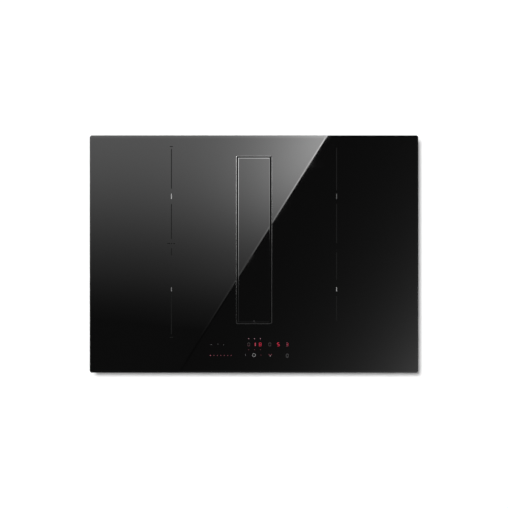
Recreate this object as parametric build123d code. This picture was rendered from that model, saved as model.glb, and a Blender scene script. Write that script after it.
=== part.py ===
from build123d import *
import os
from math import acos, cos, degrees, radians, sin

# A hob with a downdraft hood built into its middle. X runs to the right and Y to the back, as the
# cook sees it. Z is up, and zero is the worktop that the hob's gasket lies on. Lengths are in mm.

# ---- glass top, gasket and mounting frame ----
glass_width = 720.0
glass_thickness = 4.0
glass_corner = 5.0
glass_bevel = 0.8
front_strip = 106.7  # from the slot's front end to the front edge, for the controls
rear_strip = 44.7  # from the slot's rear end to the rear edge
gasket_thickness = 2.0
gasket_width = 10.0
gasket_inset = 2.0
frame_sheet = 1.2
frame_ledge = 16.0
frame_leg = 13.0

# ---- slot trim and flap ----
slot_length = 368.6
slot_width = 79.6
slot_corner = 3.5
trim_wall = 1.5
trim_edge = 0.4
trim_proud = 0.2
trim_flange = 6.0
flap_side_gap = 3.2
flap_end_gap = 2.5
flap_corner = 2.0
flap_bevel = 1.5
hinge_drop = 4.0  # from the glass's underside down to the flap's pivot
pin_radius = 2.0
pin_length = 14.0
pin_clearance = 0.06
carrier_inset = 2.8
carrier_sheet = 1.6
carrier_lip = 6.0
cradle_gap = 0.6
cradle_sheet = 1.3
rail_width = 6.5
rail_height = 5.0
cradle_depth = 43.0  # from the glass's underside down to the cradle's foot

# ---- casing under the glass ----
rim_overlap = 18.0  # how far the glass reaches past the casing on each side
casing_depth = 59.0
casing_sheet = 1.2
casing_corner = 6.0
vent_width = 3.0
vent_height = 22.0
vent_pitch = 8.0
vents_per_row = 13
vent_drop = 30.0  # from the casing's top edge to the middle of the vents
well_gap = 1.4
well_height = 46.0

# ---- heating coils ----
insulation_thickness = 1.4
coil_corner = 62.0
window_width = 60.0
window_depth = 50.0
window_corner = 22.0
coil_gap = 18.0  # between the front and the rear coil
coil_inset_inner = 33.5  # from the bay's edges to a winding
coil_inset_outer = 57.5
coil_inset_front = 7.0
coil_inset_rear = 16.5
winding_thickness = 4.0
former_wall = 1.6
former_base = 3.2
ferrite_thickness = 5.0
ferrite_width = 12.0
ferrites_per_coil = 8
sensor_radius = 5.0
spring_radius = 5.0
spring_wall = 1.0
springs_per_coil = 3
spring_free_gap = 6.4  # between the ferrite bars and the carrier sheet
carrier_thickness = 2.0
carrier_leg_width = 14.0
bay_gap = 3.0

# ---- boards and cooling ----
board_thickness = 1.6
pillar_height = 7.0
pillar_radius = 3.0
board_depth = 235.0
board_side_gap = 10.0
tall_part_height = 24.0
tall_parts = 4
heatsink_width = 70.0
heatsink_length = 180.0
heatsink_height = 24.0
heatsink_base = 4.0
heatsink_fins = 9
fin_thickness = 1.6
fan_frame_size = 92.0
fan_frame_height = 25.0
fan_duct_wall = 3.0
fan_tip_gap = 1.2
fan_hub_radius = 16.0
fan_blades = 7
fan_blade_pitch = 35.0  # degrees out of upright
fan_blade_root = 1.0  # how deep a blade is moulded into the hub
fan_axle_radius = 1.5
axle_clearance = 0.05
grille_bar = 4.0
grille_slot = 6.0
filter_board_width = 150.0
filter_board_depth = 80.0
capacitors = 3
capacitor_pitch = 18.0

# ---- touch controls ----
touch_width = 200.0
touch_depth = 52.0
touch_offset = -10.0  # the control field's middle lies left of the hob's middle
touch_setback = 27.0  # from the slot's front end to the control field
touch_tray_height = 6.0
key_spring_radius = 3.0
touch_tray_rim = 3.2
slider_inset = 15.0
slider_keys = 7
slider_pitch = 7.5
icon_gap = 50.0  # from the slider's last key to the first icon
icon_keys = 3
icon_pitch = 36.0
digit_inset = 97.0
digit_count = 5
digit_pitch = 21.75
digit_width = 14.0
digit_depth = 13.0
digit_setback = 8.0  # the digits stand this far behind the touch board's middle

# ---- intake duct and seals ----
duct_gap = 0.3
duct_wall = 2.0
duct_step = 2.6
filter_seat_drop = 6.0
seal_thickness = 1.5
duct_flange = 5.9
duct_length = 66.0  # from the worktop plane down to the duct's mouth in the plenum

# ---- grease filter and drip tray ----
filter_clearance = 0.9
filter_rim = 2.0
filter_sheet = 1.2
filter_depth = 63.0
mesh_wall = 3.0
mesh_pitch = 12.0
mesh_bar = 4.0
mesh_rows = 3
handle_width = 44.0
handle_strap = 14.0
handle_sheet = 1.5
handle_rise = 6.5
tray_clearance = 3.4
tray_wall = 1.5
tray_height = 24.0
tray_shortening = 8.0

# ---- plenum under the casing ----
plenum_wall = 2.5
plenum_seal = 2.0
chimney_room = 22.0  # air gap on each side of the filter
chimney_end_room = 4.0
roof_screw_inset = 38.0
tub_height = 45.0
tub_flange = 8.0
tub_rib = 2.0
gusset_reach = 6.0
gusset_drop = 18.0
gussets_per_side = 4

# ---- blower ----
impeller_radius = 90.0
impeller_blades = 32
blade_thickness = 1.4
blade_chord = 17.0
blade_height = 62.0
impeller_sheet = 2.0
hub_radius = 9.0
cutoff_gap = 11.0  # between the impeller and the scroll's tongue
volute_step = 12.0  # growth of the scroll's radius with each quarter turn
tongue_angle = 45.0
scroll_wall = 2.0
scroll_top_gap = 6.0
channel_height = 89.0
scroll_side_gap = 12.0
scroll_setback = 51.0  # the blower stands this far in front of the slot's middle
outlet_reach = 130.0
eye_wall = 4.0
eye_gap = 4.0
inlet_gap = 5.0
motor_radius = 42.0
motor_height = 50.0
motor_wall = 2.0
motor_flange = 14.0
motor_flange_thickness = 4.0
motor_gap = 5.0
shaft_radius = 4.0
shaft_clearance = 0.06
stator_thickness = 14.0
rotor_gap = 1.0
outlet_width = 222.0
outlet_height = 89.0
outlet_collar = 24.0

# ---- mains connection ----
box_width = 110.0
box_depth = 80.0
box_height = 35.0
box_wall = 2.0
box_inset = 32.0
block_width = 62.0
block_depth = 24.0
block_height = 18.0
block_ways = 5
gland_radius = 10.0
cable_hole_radius = 6.5
gland_hexagon = 12.5  # from the axis to the hexagon's corners
gland_nut = 3.0
gland_body = 16.0

# ---- fixings ----
screw_radius = 1.6
screw_head_radius = 3.2
screw_head_height = 1.8
screw_length = 7.0
screw_gap = 0.3
screw_bite = 3.5  # how far a roof screw reaches into its boss
clip_width = 18.0
clip_sheet = 0.8
clip_height = 36.0
clip_bow = 5.0

# ---- levels, from the worktop plane ----
glass_bottom = gasket_thickness
glass_surface = glass_bottom + glass_thickness
frame_bottom = glass_bottom - frame_sheet
casing_bottom = frame_bottom - casing_depth
casing_floor = casing_bottom + casing_sheet
pivot_z = glass_bottom - hinge_drop
cradle_foot = glass_bottom - cradle_depth
filter_seat = cradle_foot - filter_seat_drop
insulation_bottom = glass_bottom - insulation_thickness
winding_bottom = insulation_bottom - winding_thickness
former_bottom = winding_bottom - former_base
ferrite_bottom = former_bottom - ferrite_thickness
carrier_top = ferrite_bottom - spring_free_gap
carrier_bottom = carrier_top - carrier_thickness
board_bottom = casing_floor + pillar_height
board_top = board_bottom + board_thickness
roof_top = casing_bottom - plenum_seal
roof_bottom = roof_top - plenum_wall
scroll_top = casing_bottom - scroll_top_gap
channel_top = scroll_top - scroll_wall
channel_bottom = channel_top - channel_height
deck_top = channel_bottom - scroll_wall
deck_bottom = deck_top - plenum_wall
tub_bottom = deck_bottom - tub_height
tub_floor = tub_bottom + plenum_wall
scroll_split = (scroll_top + deck_top) / 2

# ---- plan sizes ----
glass_depth = rear_strip + slot_length + front_strip
slot_y = glass_depth / 2 - rear_strip - slot_length / 2
slot_front = slot_y - slot_length / 2
opening_width = slot_width - 2 * trim_wall
opening_length = slot_length - 2 * trim_wall
flap_width = opening_width - 2 * flap_side_gap
flap_length = opening_length - 2 * flap_end_gap
cradle_width = opening_width - 2 * cradle_gap
cradle_length = opening_length - 2 * cradle_gap
casing_width = glass_width - 2 * rim_overlap
casing_length = glass_depth - 2 * rim_overlap
well_half = opening_width / 2 + duct_gap + duct_wall + well_gap
bay_inner = max(well_half + casing_sheet, slot_width / 2 + trim_flange) + bay_gap
bay_outer = casing_width / 2 - casing_sheet - frame_sheet - bay_gap
bay_front = slot_front - touch_setback + bay_gap + 1
bay_rear = casing_length / 2 - casing_sheet - frame_sheet - bay_gap
coil_width = bay_outer - bay_inner - coil_inset_inner - coil_inset_outer
coil_depth = (bay_rear - bay_front - coil_inset_front - coil_inset_rear - coil_gap) / 2
coil_x = bay_inner + coil_inset_inner + coil_width / 2
coil_front_y = bay_front + coil_inset_front + coil_depth / 2
coil_rear_y = coil_front_y + coil_depth + coil_gap
board_inner = bay_inner + board_side_gap
board_outer = bay_outer - board_side_gap
fan_x = bay_outer - bay_gap - fan_frame_size / 2
fan_y = -casing_length / 2 + casing_sheet + bay_gap + fan_frame_size / 2
board_front = fan_y + fan_frame_size / 2 + bay_gap
heatsink_x = board_outer - heatsink_width / 2 - bay_gap
touch_y = slot_front - touch_setback - touch_depth / 2
touch_left = touch_offset - touch_width / 2


def duct_half(level):
    """Half the duct's inner width at a level: 0 holds the cradle, 1 the filter rim, 2 the filter."""
    return opening_width / 2 + duct_gap - level * duct_step


def duct_half_length(level):
    """Half the duct's inner length at the same three levels."""
    return duct_half(level) + (opening_length - opening_width) / 2


chimney_half = duct_half(2) + chimney_room
chimney_half_length = duct_half_length(0) + duct_wall + chimney_end_room
scroll_flange = 2 * (screw_head_radius + screw_gap)
volute_radius = impeller_radius + cutoff_gap
scroll_left_reach = volute_radius + volute_step - volute_step * cos(radians(45))
blower_x = (
    chimney_half + plenum_wall + scroll_side_gap + scroll_flange + scroll_wall + scroll_left_reach
)
blower_y = slot_y - scroll_setback
outlet_y = blower_y + outlet_reach
duct_mouth_y = casing_length / 2
tongue_x = volute_radius * cos(radians(tongue_angle))
impeller_bottom = channel_bottom + inlet_gap
blade_bottom = impeller_bottom + impeller_sheet
blade_top = blade_bottom + blade_height
blade_root = impeller_radius - blade_chord
eye_radius = blade_root - impeller_sheet - eye_gap - eye_wall
deck_right = blower_x + volute_radius
motor_top = channel_top
motor_bottom = motor_top - motor_flange_thickness - motor_height
dish_radius = motor_radius + motor_gap
dish_top = motor_bottom - motor_gap
box_x = -casing_width / 2 + box_inset + box_width / 2
box_y = casing_length / 2 - box_inset - box_depth / 2
box_bottom = casing_bottom - box_height


def slab(width, depth, bottom, top, corner=0.0, x=0.0, y=0.0):
    """An upright block, its four upright edges rounded, between two levels."""
    outline = RectangleRounded(width, depth, corner) if corner else Rectangle(width, depth)
    return Pos(x, y, bottom) * extrude(outline, top - bottom)


def block(x0, x1, y0, y1, bottom, top):
    """A plain block between two corners."""
    return slab(x1 - x0, y1 - y0, bottom, top, x=(x0 + x1) / 2, y=(y0 + y1) / 2)


def rod(radius, bottom, top, x=0.0, y=0.0):
    """An upright round bar."""
    return Pos(x, y, bottom) * extrude(Circle(radius), top - bottom)


def tube(outer, inner, bottom, top, x=0.0, y=0.0):
    """An upright round tube."""
    return Pos(x, y, bottom) * extrude(Circle(outer) - Circle(inner), top - bottom)


def along_y(shape):
    """Turns an upright shape at the origin so that its top points to the back."""
    return Rot(-90, 0, 0) * shape


def joined(shapes):
    """One solid of touching or overlapping shapes."""
    first, *rest = shapes
    return first.fuse(*rest) if rest else first


# ---- fixings ----

def screw(radius=screw_radius, length=screw_length):
    """A pan-head screw: its shank hangs down from the origin and its head stands on it."""
    return rod(radius, -length, 0) + rod(screw_head_radius, 0, screw_head_height)


def casing_screw_places():
    """Each screw through the casing's side walls: where its head sits, and how it is turned."""
    z = frame_bottom - frame_leg / 2
    places = []
    for side in (-1, 1):
        for y in (-casing_length / 3, 0.0, casing_length / 3):
            places.append(Pos(side * casing_width / 2, y, z) * Rot(0, side * 90, 0))
        for x in (-casing_width / 3, 0.0, casing_width / 3):
            places.append(Pos(x, side * casing_length / 2, z) * Rot(-side * 90, 0, 0))
    return places


def casing_screws():
    """Twelve screws that hold the casing to the mounting frame."""
    return [place * screw() for place in casing_screw_places()]


def casing_screw_holes():
    """What the casing screws' shanks take away from the casing wall and the frame's leg."""
    return [place * rod(screw_radius, -screw_length, 1) for place in casing_screw_places()]


def clip_places():
    """The four spring clips on the left and right walls of the casing."""
    return [
        (side, y) for side in (-1, 1) for y in (-casing_length / 4, casing_length / 4)
    ]


def side_clips():
    """Bowed spring strips that wedge the hob in its cut-out."""
    wall = casing_width / 2
    top = -clip_bow
    middle = top - clip_height / 2
    bottom = top - clip_height
    strip = [
        (wall, top),
        (wall + clip_sheet, top),
        (wall + clip_sheet, top - clip_bow),
        (wall + clip_bow, middle),
        (wall + clip_sheet, bottom + clip_bow),
        (wall + clip_sheet, bottom),
        (wall, bottom),
        (wall, bottom + clip_bow),
        (wall + clip_bow - clip_sheet, middle),
        (wall, top - clip_bow),
    ]
    clips = []
    for side, y in clip_places():
        face = Plane.XZ * make_face(Polyline(*strip, close=True))
        clip = Pos(0, y + clip_width / 2, 0) * extrude(face, clip_width)
        clips.append(clip if side > 0 else mirror(clip, Plane.YZ))
    return clips


# ---- glass top and its slot ----

def glass_top():
    """The glass plate, its upper edge ground off, with the slot cut through it."""
    plate = slab(glass_width, glass_depth, glass_bottom, glass_surface, glass_corner)
    plate = chamfer(plate.faces().sort_by(Axis.Z)[-1].edges(), glass_bevel)
    return plate - slab(slot_width, slot_length, glass_bottom, glass_surface, slot_corner, y=slot_y)


def worktop_gasket():
    """The foam strip between the rim of the glass and the worktop."""
    outer_width = glass_width - 2 * gasket_inset
    outer_depth = glass_depth - 2 * gasket_inset
    outer = slab(outer_width, outer_depth, 0, gasket_thickness, glass_corner)
    return outer - slab(
        outer_width - 2 * gasket_width, outer_depth - 2 * gasket_width, 0, gasket_thickness
    )


def mounting_frame():
    """Angle frame bonded under the glass. The casing hangs on its leg."""
    ledge = slab(casing_width, casing_length, frame_bottom, glass_bottom, casing_corner)
    ledge -= slab(
        casing_width - 2 * frame_ledge, casing_length - 2 * frame_ledge, frame_bottom, glass_bottom
    )
    leg_width = casing_width - 2 * casing_sheet
    leg_length = casing_length - 2 * casing_sheet
    leg_corner = casing_corner - casing_sheet
    leg = slab(leg_width, leg_length, frame_bottom - frame_leg, frame_bottom, leg_corner)
    leg -= slab(
        leg_width - 2 * frame_sheet,
        leg_length - 2 * frame_sheet,
        frame_bottom - frame_leg,
        frame_bottom,
        leg_corner - frame_sheet,
    )
    return (ledge + leg) - casing_screw_holes()


def slot_trim():
    """Thin metal lining of the slot: a wall with a broken edge, and a flange bonded under the glass."""
    top = glass_surface + trim_proud
    wall = slab(slot_width, slot_length, frame_bottom, top, slot_corner, y=slot_y)
    flange = slab(
        slot_width + 2 * trim_flange,
        slot_length + 2 * trim_flange,
        frame_bottom,
        glass_bottom,
        slot_corner + trim_flange,
        y=slot_y,
    )
    opening = slab(
        opening_width, opening_length, frame_bottom, top, slot_corner - trim_wall, y=slot_y
    )
    lining = wall + flange - opening
    return chamfer(lining.faces().sort_by(Axis.Z)[-1].edges(), trim_edge)


# ---- the flap and the cradle that carries it ----

def flap_glass():
    """The glass strip that closes the slot, bevelled all round."""
    plate = slab(flap_width, flap_length, glass_bottom, glass_surface, flap_corner, y=slot_y)
    return chamfer(plate.faces().sort_by(Axis.Z)[-1].edges(), flap_bevel)


def pin_hole(radius, reach):
    """Round bar along the pivot, from end to end of the slot."""
    bar = along_y(rod(radius, -reach, reach))
    return Pos(0, slot_y, pivot_z) * bar


def flap_carrier():
    """Light metal tray under the flap glass, with a spine that the pins are pressed into."""
    width = flap_width - 2 * carrier_inset
    length = flap_length - 2 * carrier_inset
    tray = slab(width, length, glass_bottom - carrier_lip, glass_bottom, y=slot_y)
    tray -= slab(
        width - 2 * carrier_sheet,
        length - 2 * carrier_sheet,
        glass_bottom - carrier_lip,
        glass_bottom - carrier_sheet,
        y=slot_y,
    )
    spine_half = pin_radius + carrier_sheet
    spine = slab(2 * spine_half, length, pivot_z - spine_half, glass_bottom, y=slot_y)
    return tray + spine - pin_hole(pin_radius, slot_length)


def flap_pins():
    """The two steel pins that the flap turns on."""
    outer_end = cradle_length / 2 - cradle_sheet / 8
    pins = []
    for side in (-1, 1):
        pin = along_y(rod(pin_radius, outer_end - pin_length, outer_end))
        pin = pin if side > 0 else mirror(pin, Plane.XZ)
        pins.append(Pos(0, slot_y, pivot_z) * pin)
    return pins


def flap_cradle():
    """Drop-in frame: two end plates with bearing eyes, and two rails along the foot."""
    half_width = cradle_width / 2
    half_length = cradle_length / 2
    shoulder = pivot_z - 2 * pin_radius
    eye_half = 3.5 * pin_radius
    pieces = []
    for side in (-1, 1):
        near = slot_y + side * (half_length - cradle_sheet)
        far = slot_y + side * half_length
        low, high = min(near, far), max(near, far)
        pieces.append(block(-half_width, half_width, low, high, cradle_foot, shoulder))
        pieces.append(block(-eye_half, eye_half, low, high, shoulder, pivot_z + 2 * pin_radius))
        rail_in = side * (half_width - rail_width)
        rail_out = side * half_width
        pieces.append(
            block(
                min(rail_in, rail_out),
                max(rail_in, rail_out),
                slot_y - half_length,
                slot_y + half_length,
                cradle_foot,
                cradle_foot + rail_height,
            )
        )
    corners = slab(
        cradle_width, cradle_length, cradle_foot, glass_surface, slot_corner - trim_wall, y=slot_y
    )
    cradle = joined(pieces) & corners
    return cradle - pin_hole(pin_radius + pin_clearance, slot_length)


# ---- casing ----

def board_corners():
    """Where each power board stands on its pillars."""
    inset = 2 * pillar_radius
    xs = (board_inner + inset, board_outer - inset)
    ys = (board_front + inset, board_front + board_depth - inset)
    return [(side * x, y) for side in (-1, 1) for x in xs for y in ys]


def filter_board_place():
    """Centre of the mains filter board, at the rear left."""
    x = -bay_outer + board_side_gap + filter_board_width / 2
    y = bay_rear - board_side_gap - filter_board_depth / 2
    return x, y


def filter_board_corners():
    """Where the mains filter board stands on its pillars."""
    x, y = filter_board_place()
    reach_x = filter_board_width / 2 - 2 * pillar_radius
    reach_y = filter_board_depth / 2 - 2 * pillar_radius
    return [(x + i * reach_x, y + j * reach_y) for i in (-1, 1) for j in (-1, 1)]


def fan_places():
    """The two cooling fans, in the casing's front corners."""
    return {"left": (-fan_x, fan_y), "right": (fan_x, fan_y)}


def fan_grille(x, y):
    """Slots in the casing floor under a cooling fan, cut to the fan's round bore."""
    bore = fan_frame_size / 2 - fan_duct_wall
    pitch = grille_bar + grille_slot
    count = int(2 * bore // pitch)
    slots = []
    for i in range(count):
        offset = (i - (count - 1) / 2) * pitch
        half = (bore ** 2 - offset ** 2) ** 0.5 - grille_bar
        if half > grille_slot:
            slots.append(
                slab(grille_slot, 2 * half, casing_bottom, casing_floor, x=x + offset, y=y)
            )
    return slots


def roof_screw_places():
    """Screws that hang the plenum under the casing, beside the well."""
    x = (well_half + casing_sheet + chimney_half) / 2
    reach = chimney_half_length - roof_screw_inset
    return [(side * x, slot_y + step * reach) for side in (-1, 1) for step in (-1, 0, 1)]


def wall_vents():
    """Rows of upright slots in the casing's front and rear walls, between the screws."""
    low = frame_bottom - vent_drop - vent_height / 2
    vents = []
    for x in (-casing_width / 6, casing_width / 6):
        for y in (-casing_length / 2, casing_length / 2):
            for i in range(vents_per_row):
                vent_x = x + (i - (vents_per_row - 1) / 2) * vent_pitch
                vents.append(
                    slab(vent_width, 4 * casing_sheet, low, low + vent_height, x=vent_x, y=y)
                )
    return vents


def well_outline(extra, bottom, top):
    """The casing's middle well, which the intake duct hangs in."""
    half_length = well_half + (opening_length - opening_width) / 2
    return slab(2 * (well_half + extra), 2 * (half_length + extra), bottom, top, y=slot_y)


def casing_pan():
    """Folded sheet casing: floor, four walls, a well for the duct and pillars for the boards."""
    outer = slab(casing_width, casing_length, casing_bottom, frame_bottom, casing_corner)
    inner = slab(
        casing_width - 2 * casing_sheet,
        casing_length - 2 * casing_sheet,
        casing_floor,
        frame_bottom,
        casing_corner - casing_sheet,
    )
    well_top = casing_bottom + well_height
    pieces = [outer - inner, well_outline(casing_sheet, casing_bottom, well_top)]
    for x, y in board_corners() + filter_board_corners():
        pieces.append(rod(pillar_radius, casing_floor, board_bottom, x, y))
    cuts = [well_outline(0, casing_bottom, well_top)]
    cuts.append(rod(2 * cable_hole_radius, casing_bottom, casing_floor, box_x, box_y))
    cuts += casing_screw_holes()
    cuts += wall_vents()
    for x, y in fan_places().values():
        cuts += fan_grille(x, y)
    for x, y in roof_screw_places():
        cuts.append(rod(screw_radius, casing_bottom, casing_floor, x, y))
    return joined(pieces) - cuts


# ---- heating coils ----

def coil_places():
    """The four coils by name."""
    return {
        "front_left": (-coil_x, coil_front_y),
        "rear_left": (-coil_x, coil_rear_y),
        "front_right": (coil_x, coil_front_y),
        "rear_right": (coil_x, coil_rear_y),
    }


def insulation_sheet(side):
    """Sheet of heat insulation between the glass and one pair of coils."""
    ledge_x = casing_width / 2 - frame_ledge - bay_gap / 2
    ledge_y = casing_length / 2 - frame_ledge - bay_gap / 2
    x0, x1 = sorted((side * bay_inner, side * min(bay_outer, ledge_x)))
    return block(x0, x1, bay_front, min(bay_rear, ledge_y), insulation_bottom, glass_bottom)


def coil_winding(x, y):
    """Flat winding of litz wire, as one ring."""
    ring = slab(
        coil_width, coil_depth, winding_bottom, insulation_bottom, coil_corner, x=x, y=y
    )
    return ring - slab(
        window_width, window_depth, winding_bottom, insulation_bottom, window_corner, x=x, y=y
    )


def coil_former(x, y):
    """Plastic dish that the winding lies in, open in the middle round the sensor."""
    width = coil_width + 2 * former_wall
    depth = coil_depth + 2 * former_wall
    corner = coil_corner + former_wall
    dish = slab(width, depth, former_bottom, insulation_bottom, corner, x=x, y=y)
    dish -= coil_winding(x, y)
    return dish - slab(
        window_width - 2 * former_wall,
        window_depth - 2 * former_wall,
        winding_bottom,
        insulation_bottom,
        window_corner - former_wall,
        x=x,
        y=y,
    )


def ferrite_bars():
    """Radial bars under every coil, which turn its field up towards the pan."""
    inner = min(window_width, window_depth) / 2
    outer = min(coil_width, coil_depth) / 2 - former_wall
    half = ferrite_width / 2
    bars = []
    for x, y in coil_places().values():
        for i in range(ferrites_per_coil):
            bar = block(inner, outer, -half, half, ferrite_bottom, former_bottom)
            bars.append(Pos(x, y, 0) * Rot(0, 0, i * 360 / ferrites_per_coil) * bar)
    return bars


def coil_sensors():
    """The temperature sensor in the middle of each coil, pressed up against the insulation."""
    return [
        rod(sensor_radius, winding_bottom, insulation_bottom, x, y) for x, y in coil_places().values()
    ]


def coil_springs():
    """Springs between the carrier sheet and the formers, as plain sleeves."""
    reach = (window_depth + min(coil_width, coil_depth)) / 4
    springs = []
    for x, y in coil_places().values():
        for i in range(springs_per_coil):
            gap = round(i * ferrites_per_coil / springs_per_coil) + 0.5
            turn = radians(gap * 360 / ferrites_per_coil)
            springs.append(
                tube(
                    spring_radius,
                    spring_radius - spring_wall,
                    carrier_top,
                    former_bottom,
                    x + reach * cos(turn),
                    y + reach * sin(turn),
                )
            )
    return springs


def coil_carrier(side):
    """Aluminium sheet under one pair of coils, on folded legs that stand on the casing floor."""
    sheet = block(bay_inner, bay_outer, bay_front, bay_rear, carrier_bottom, carrier_top)
    leg_ys = (
        board_front + board_side_gap,
        coil_front_y + coil_depth / 2,
        bay_rear - carrier_leg_width,
    )
    pieces = [sheet]
    for y in leg_ys:
        for x in (bay_inner, bay_outer - carrier_thickness):
            pieces.append(
                block(
                    x,
                    x + carrier_thickness,
                    y - carrier_leg_width / 2,
                    y + carrier_leg_width / 2,
                    casing_floor,
                    carrier_bottom,
                )
            )
    carrier = joined(pieces)
    return carrier if side > 0 else mirror(carrier, Plane.YZ)


# ---- boards, heatsinks and cooling fans ----

def power_board(side):
    """Power electronics board with its tall parts soldered on."""
    board = block(
        board_inner, board_outer, board_front, board_front + board_depth, board_bottom, board_top
    )
    top = board_top + tall_part_height
    radius = tall_part_height / 2
    free_left = board_inner + 2 * radius
    free_right = heatsink_x - heatsink_width / 2 - 2 * radius
    pieces = [board]
    for i in range(tall_parts):
        y = board_front + board_depth * (i + 1) / (tall_parts + 1)
        pieces.append(rod(radius, board_top, top, free_left, y))
        pieces.append(slab(2 * radius, 1.5 * radius, board_top, top - radius / 2, x=free_right, y=y))
    middle = (free_left + free_right) / 2
    ring_y = board_front + 3 * radius
    pieces.append(tube(1.5 * radius, radius / 2, board_top, top - radius, middle, ring_y))
    power = joined(pieces)
    return power if side > 0 else mirror(power, Plane.YZ)


def heatsink(side):
    """Finned aluminium bar that the power switches are clamped to, in line with the fan."""
    y0 = board_front + board_side_gap
    y1 = y0 + heatsink_length
    left = heatsink_x - heatsink_width / 2
    base = block(left, left + heatsink_width, y0, y1, board_top, board_top + heatsink_base)
    pieces = [base]
    for i in range(heatsink_fins):
        x = left + i * (heatsink_width - fin_thickness) / (heatsink_fins - 1)
        pieces.append(block(x, x + fin_thickness, y0, y1, board_top, board_top + heatsink_height))
    sink = joined(pieces)
    return sink if side > 0 else mirror(sink, Plane.YZ)


def fan_housing(x, y):
    """Square frame of a cooling fan, with a round bore and a hub on four arms."""
    top = casing_floor + fan_frame_height
    bore = fan_frame_size / 2 - fan_duct_wall
    frame = slab(fan_frame_size, fan_frame_size, casing_floor, top, fan_duct_wall)
    frame -= rod(bore, casing_floor, top)
    arm_top = casing_floor + fan_duct_wall
    pieces = [frame, rod(fan_hub_radius, casing_floor, arm_top)]
    for turn in (45, 135):
        arm = slab(2 * bore + fan_duct_wall, fan_duct_wall, casing_floor, arm_top)
        pieces.append(Rot(0, 0, turn) * arm)
    housing = joined(pieces) - rod(fan_axle_radius + axle_clearance, casing_floor, arm_top)
    return Pos(x, y, 0) * housing


def fan_rotor(x, y):
    """Rotor of a cooling fan: hub, blades and the axle that runs in the housing's hub."""
    low = casing_floor + fan_duct_wall + fan_tip_gap
    high = casing_floor + fan_frame_height - fan_tip_gap
    tip = fan_frame_size / 2 - fan_duct_wall - fan_tip_gap
    pieces = [
        rod(fan_hub_radius, low, high),
        rod(fan_axle_radius, casing_floor + axle_clearance, low),
    ]
    root = fan_hub_radius - fan_blade_root
    blade = slab(tip - root, fan_duct_wall / 2, -(high - low) / 2, (high - low) / 2)
    blade = Rot(fan_blade_pitch, 0, 0) * blade
    blade = Pos((tip + root) / 2, 0, (low + high) / 2) * blade
    for i in range(fan_blades):
        pieces.append(Rot(0, 0, i * 360 / fan_blades) * blade)
    envelope = rod(tip, low, high) + rod(fan_axle_radius, casing_floor + axle_clearance, low)
    return Pos(x, y, 0) * (joined(pieces) & envelope)


def mains_filter_board():
    """Mains filter: a board with a ring choke and three capacitors soldered on."""
    x, y = filter_board_place()
    board = slab(filter_board_width, filter_board_depth, board_bottom, board_top, x=x, y=y)
    choke = filter_board_depth / 4
    top = board_top + tall_part_height
    pieces = [board, tube(choke, choke / 2, board_top, top - choke / 2, x - choke, y)]
    for i in range(capacitors):
        part_x = x + capacitor_pitch * (i + 1)
        pieces.append(slab(choke / 2, 2 * choke, board_top, top, x=part_x, y=y))
    return joined(pieces)


# ---- touch controls ----

def touch_levels():
    """Underside and top of the touch board."""
    board_under = glass_bottom - digit_depth / 2 - board_thickness
    return board_under, board_under + board_thickness


def touch_board():
    """Touch sensor board under the front of the glass."""
    under, top = touch_levels()
    return slab(touch_width, touch_depth, under, top, x=touch_offset, y=touch_y)


def key_places():
    """Where a finger is sensed: the slider on the left, then the icons."""
    y = touch_y - touch_depth / 4
    start = touch_left + slider_inset
    slider = [(start + i * slider_pitch, y) for i in range(slider_keys)]
    icons = slider[-1][0] + icon_gap
    return slider + [(icons + i * icon_pitch, y) for i in range(icon_keys)]


def touch_springs():
    """Sensor springs that reach from the board to the glass, as plain sleeves."""
    top = touch_levels()[1]
    return [
        tube(key_spring_radius, key_spring_radius - spring_wall, top, glass_bottom, x, y)
        for x, y in key_places()
    ]


def display_modules():
    """One seven-segment block for each digit, close under the glass."""
    top = touch_levels()[1]
    start = touch_left + digit_inset
    y = touch_y + digit_setback
    return [
        slab(digit_width, digit_depth, top, glass_bottom, x=start + i * digit_pitch, y=y)
        for i in range(digit_count)
    ]


def touch_board_tray():
    """Plastic tray that holds the touch board up from the casing floor."""
    under = touch_levels()[0]
    rim = touch_tray_rim
    tray = slab(touch_width, touch_depth, under - touch_tray_height, under, x=touch_offset, y=touch_y)
    tray -= slab(
        touch_width - 2 * rim,
        touch_depth - 2 * rim,
        under - touch_tray_height + rim,
        under,
        x=touch_offset,
        y=touch_y,
    )
    pieces = [tray]
    for side in (-1, 1):
        x = touch_offset + side * (touch_width / 2 - pillar_radius)
        pieces.append(rod(pillar_radius, casing_floor, under - touch_tray_height, x, touch_y))
    return joined(pieces)


# ---- intake duct, filter and drip tray ----

def duct_block(level, extra, bottom, top):
    """The duct's inner space at one of its three levels, grown by extra on every side."""
    return slab(
        2 * (duct_half(level) + extra), 2 * (duct_half_length(level) + extra), bottom, top, y=slot_y
    )


def intake_duct():
    """Stepped shaft under the slot: one ledge carries the cradle and the next the filter."""
    top = frame_bottom - seal_thickness
    pieces = [
        duct_block(0, duct_wall + duct_flange, top - duct_wall, top),
        duct_block(0, duct_wall, cradle_foot - duct_wall, top),
        duct_block(1, duct_wall, filter_seat - duct_wall, cradle_foot),
        duct_block(2, duct_wall, -duct_length, filter_seat),
    ]
    cuts = [
        duct_block(0, 0, cradle_foot, top),
        duct_block(1, 0, filter_seat, cradle_foot),
        duct_block(2, 0, -duct_length, filter_seat),
    ]
    return joined(pieces) - cuts


def duct_seals():
    """Foam rings: one between the trim's flange and the duct, one between casing and plenum."""
    upper = duct_block(0, duct_wall + duct_flange, frame_bottom - seal_thickness, frame_bottom)
    upper -= duct_block(0, duct_gap, frame_bottom - seal_thickness, frame_bottom)
    lower = slab(
        2 * chimney_half, 2 * chimney_half_length, roof_top, casing_bottom, y=slot_y
    )
    lower -= well_outline(0, roof_top, casing_bottom)
    lower -= [rod(screw_radius, roof_top, casing_bottom, x, y) for x, y in roof_screw_places()]
    return [upper, lower]


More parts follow.
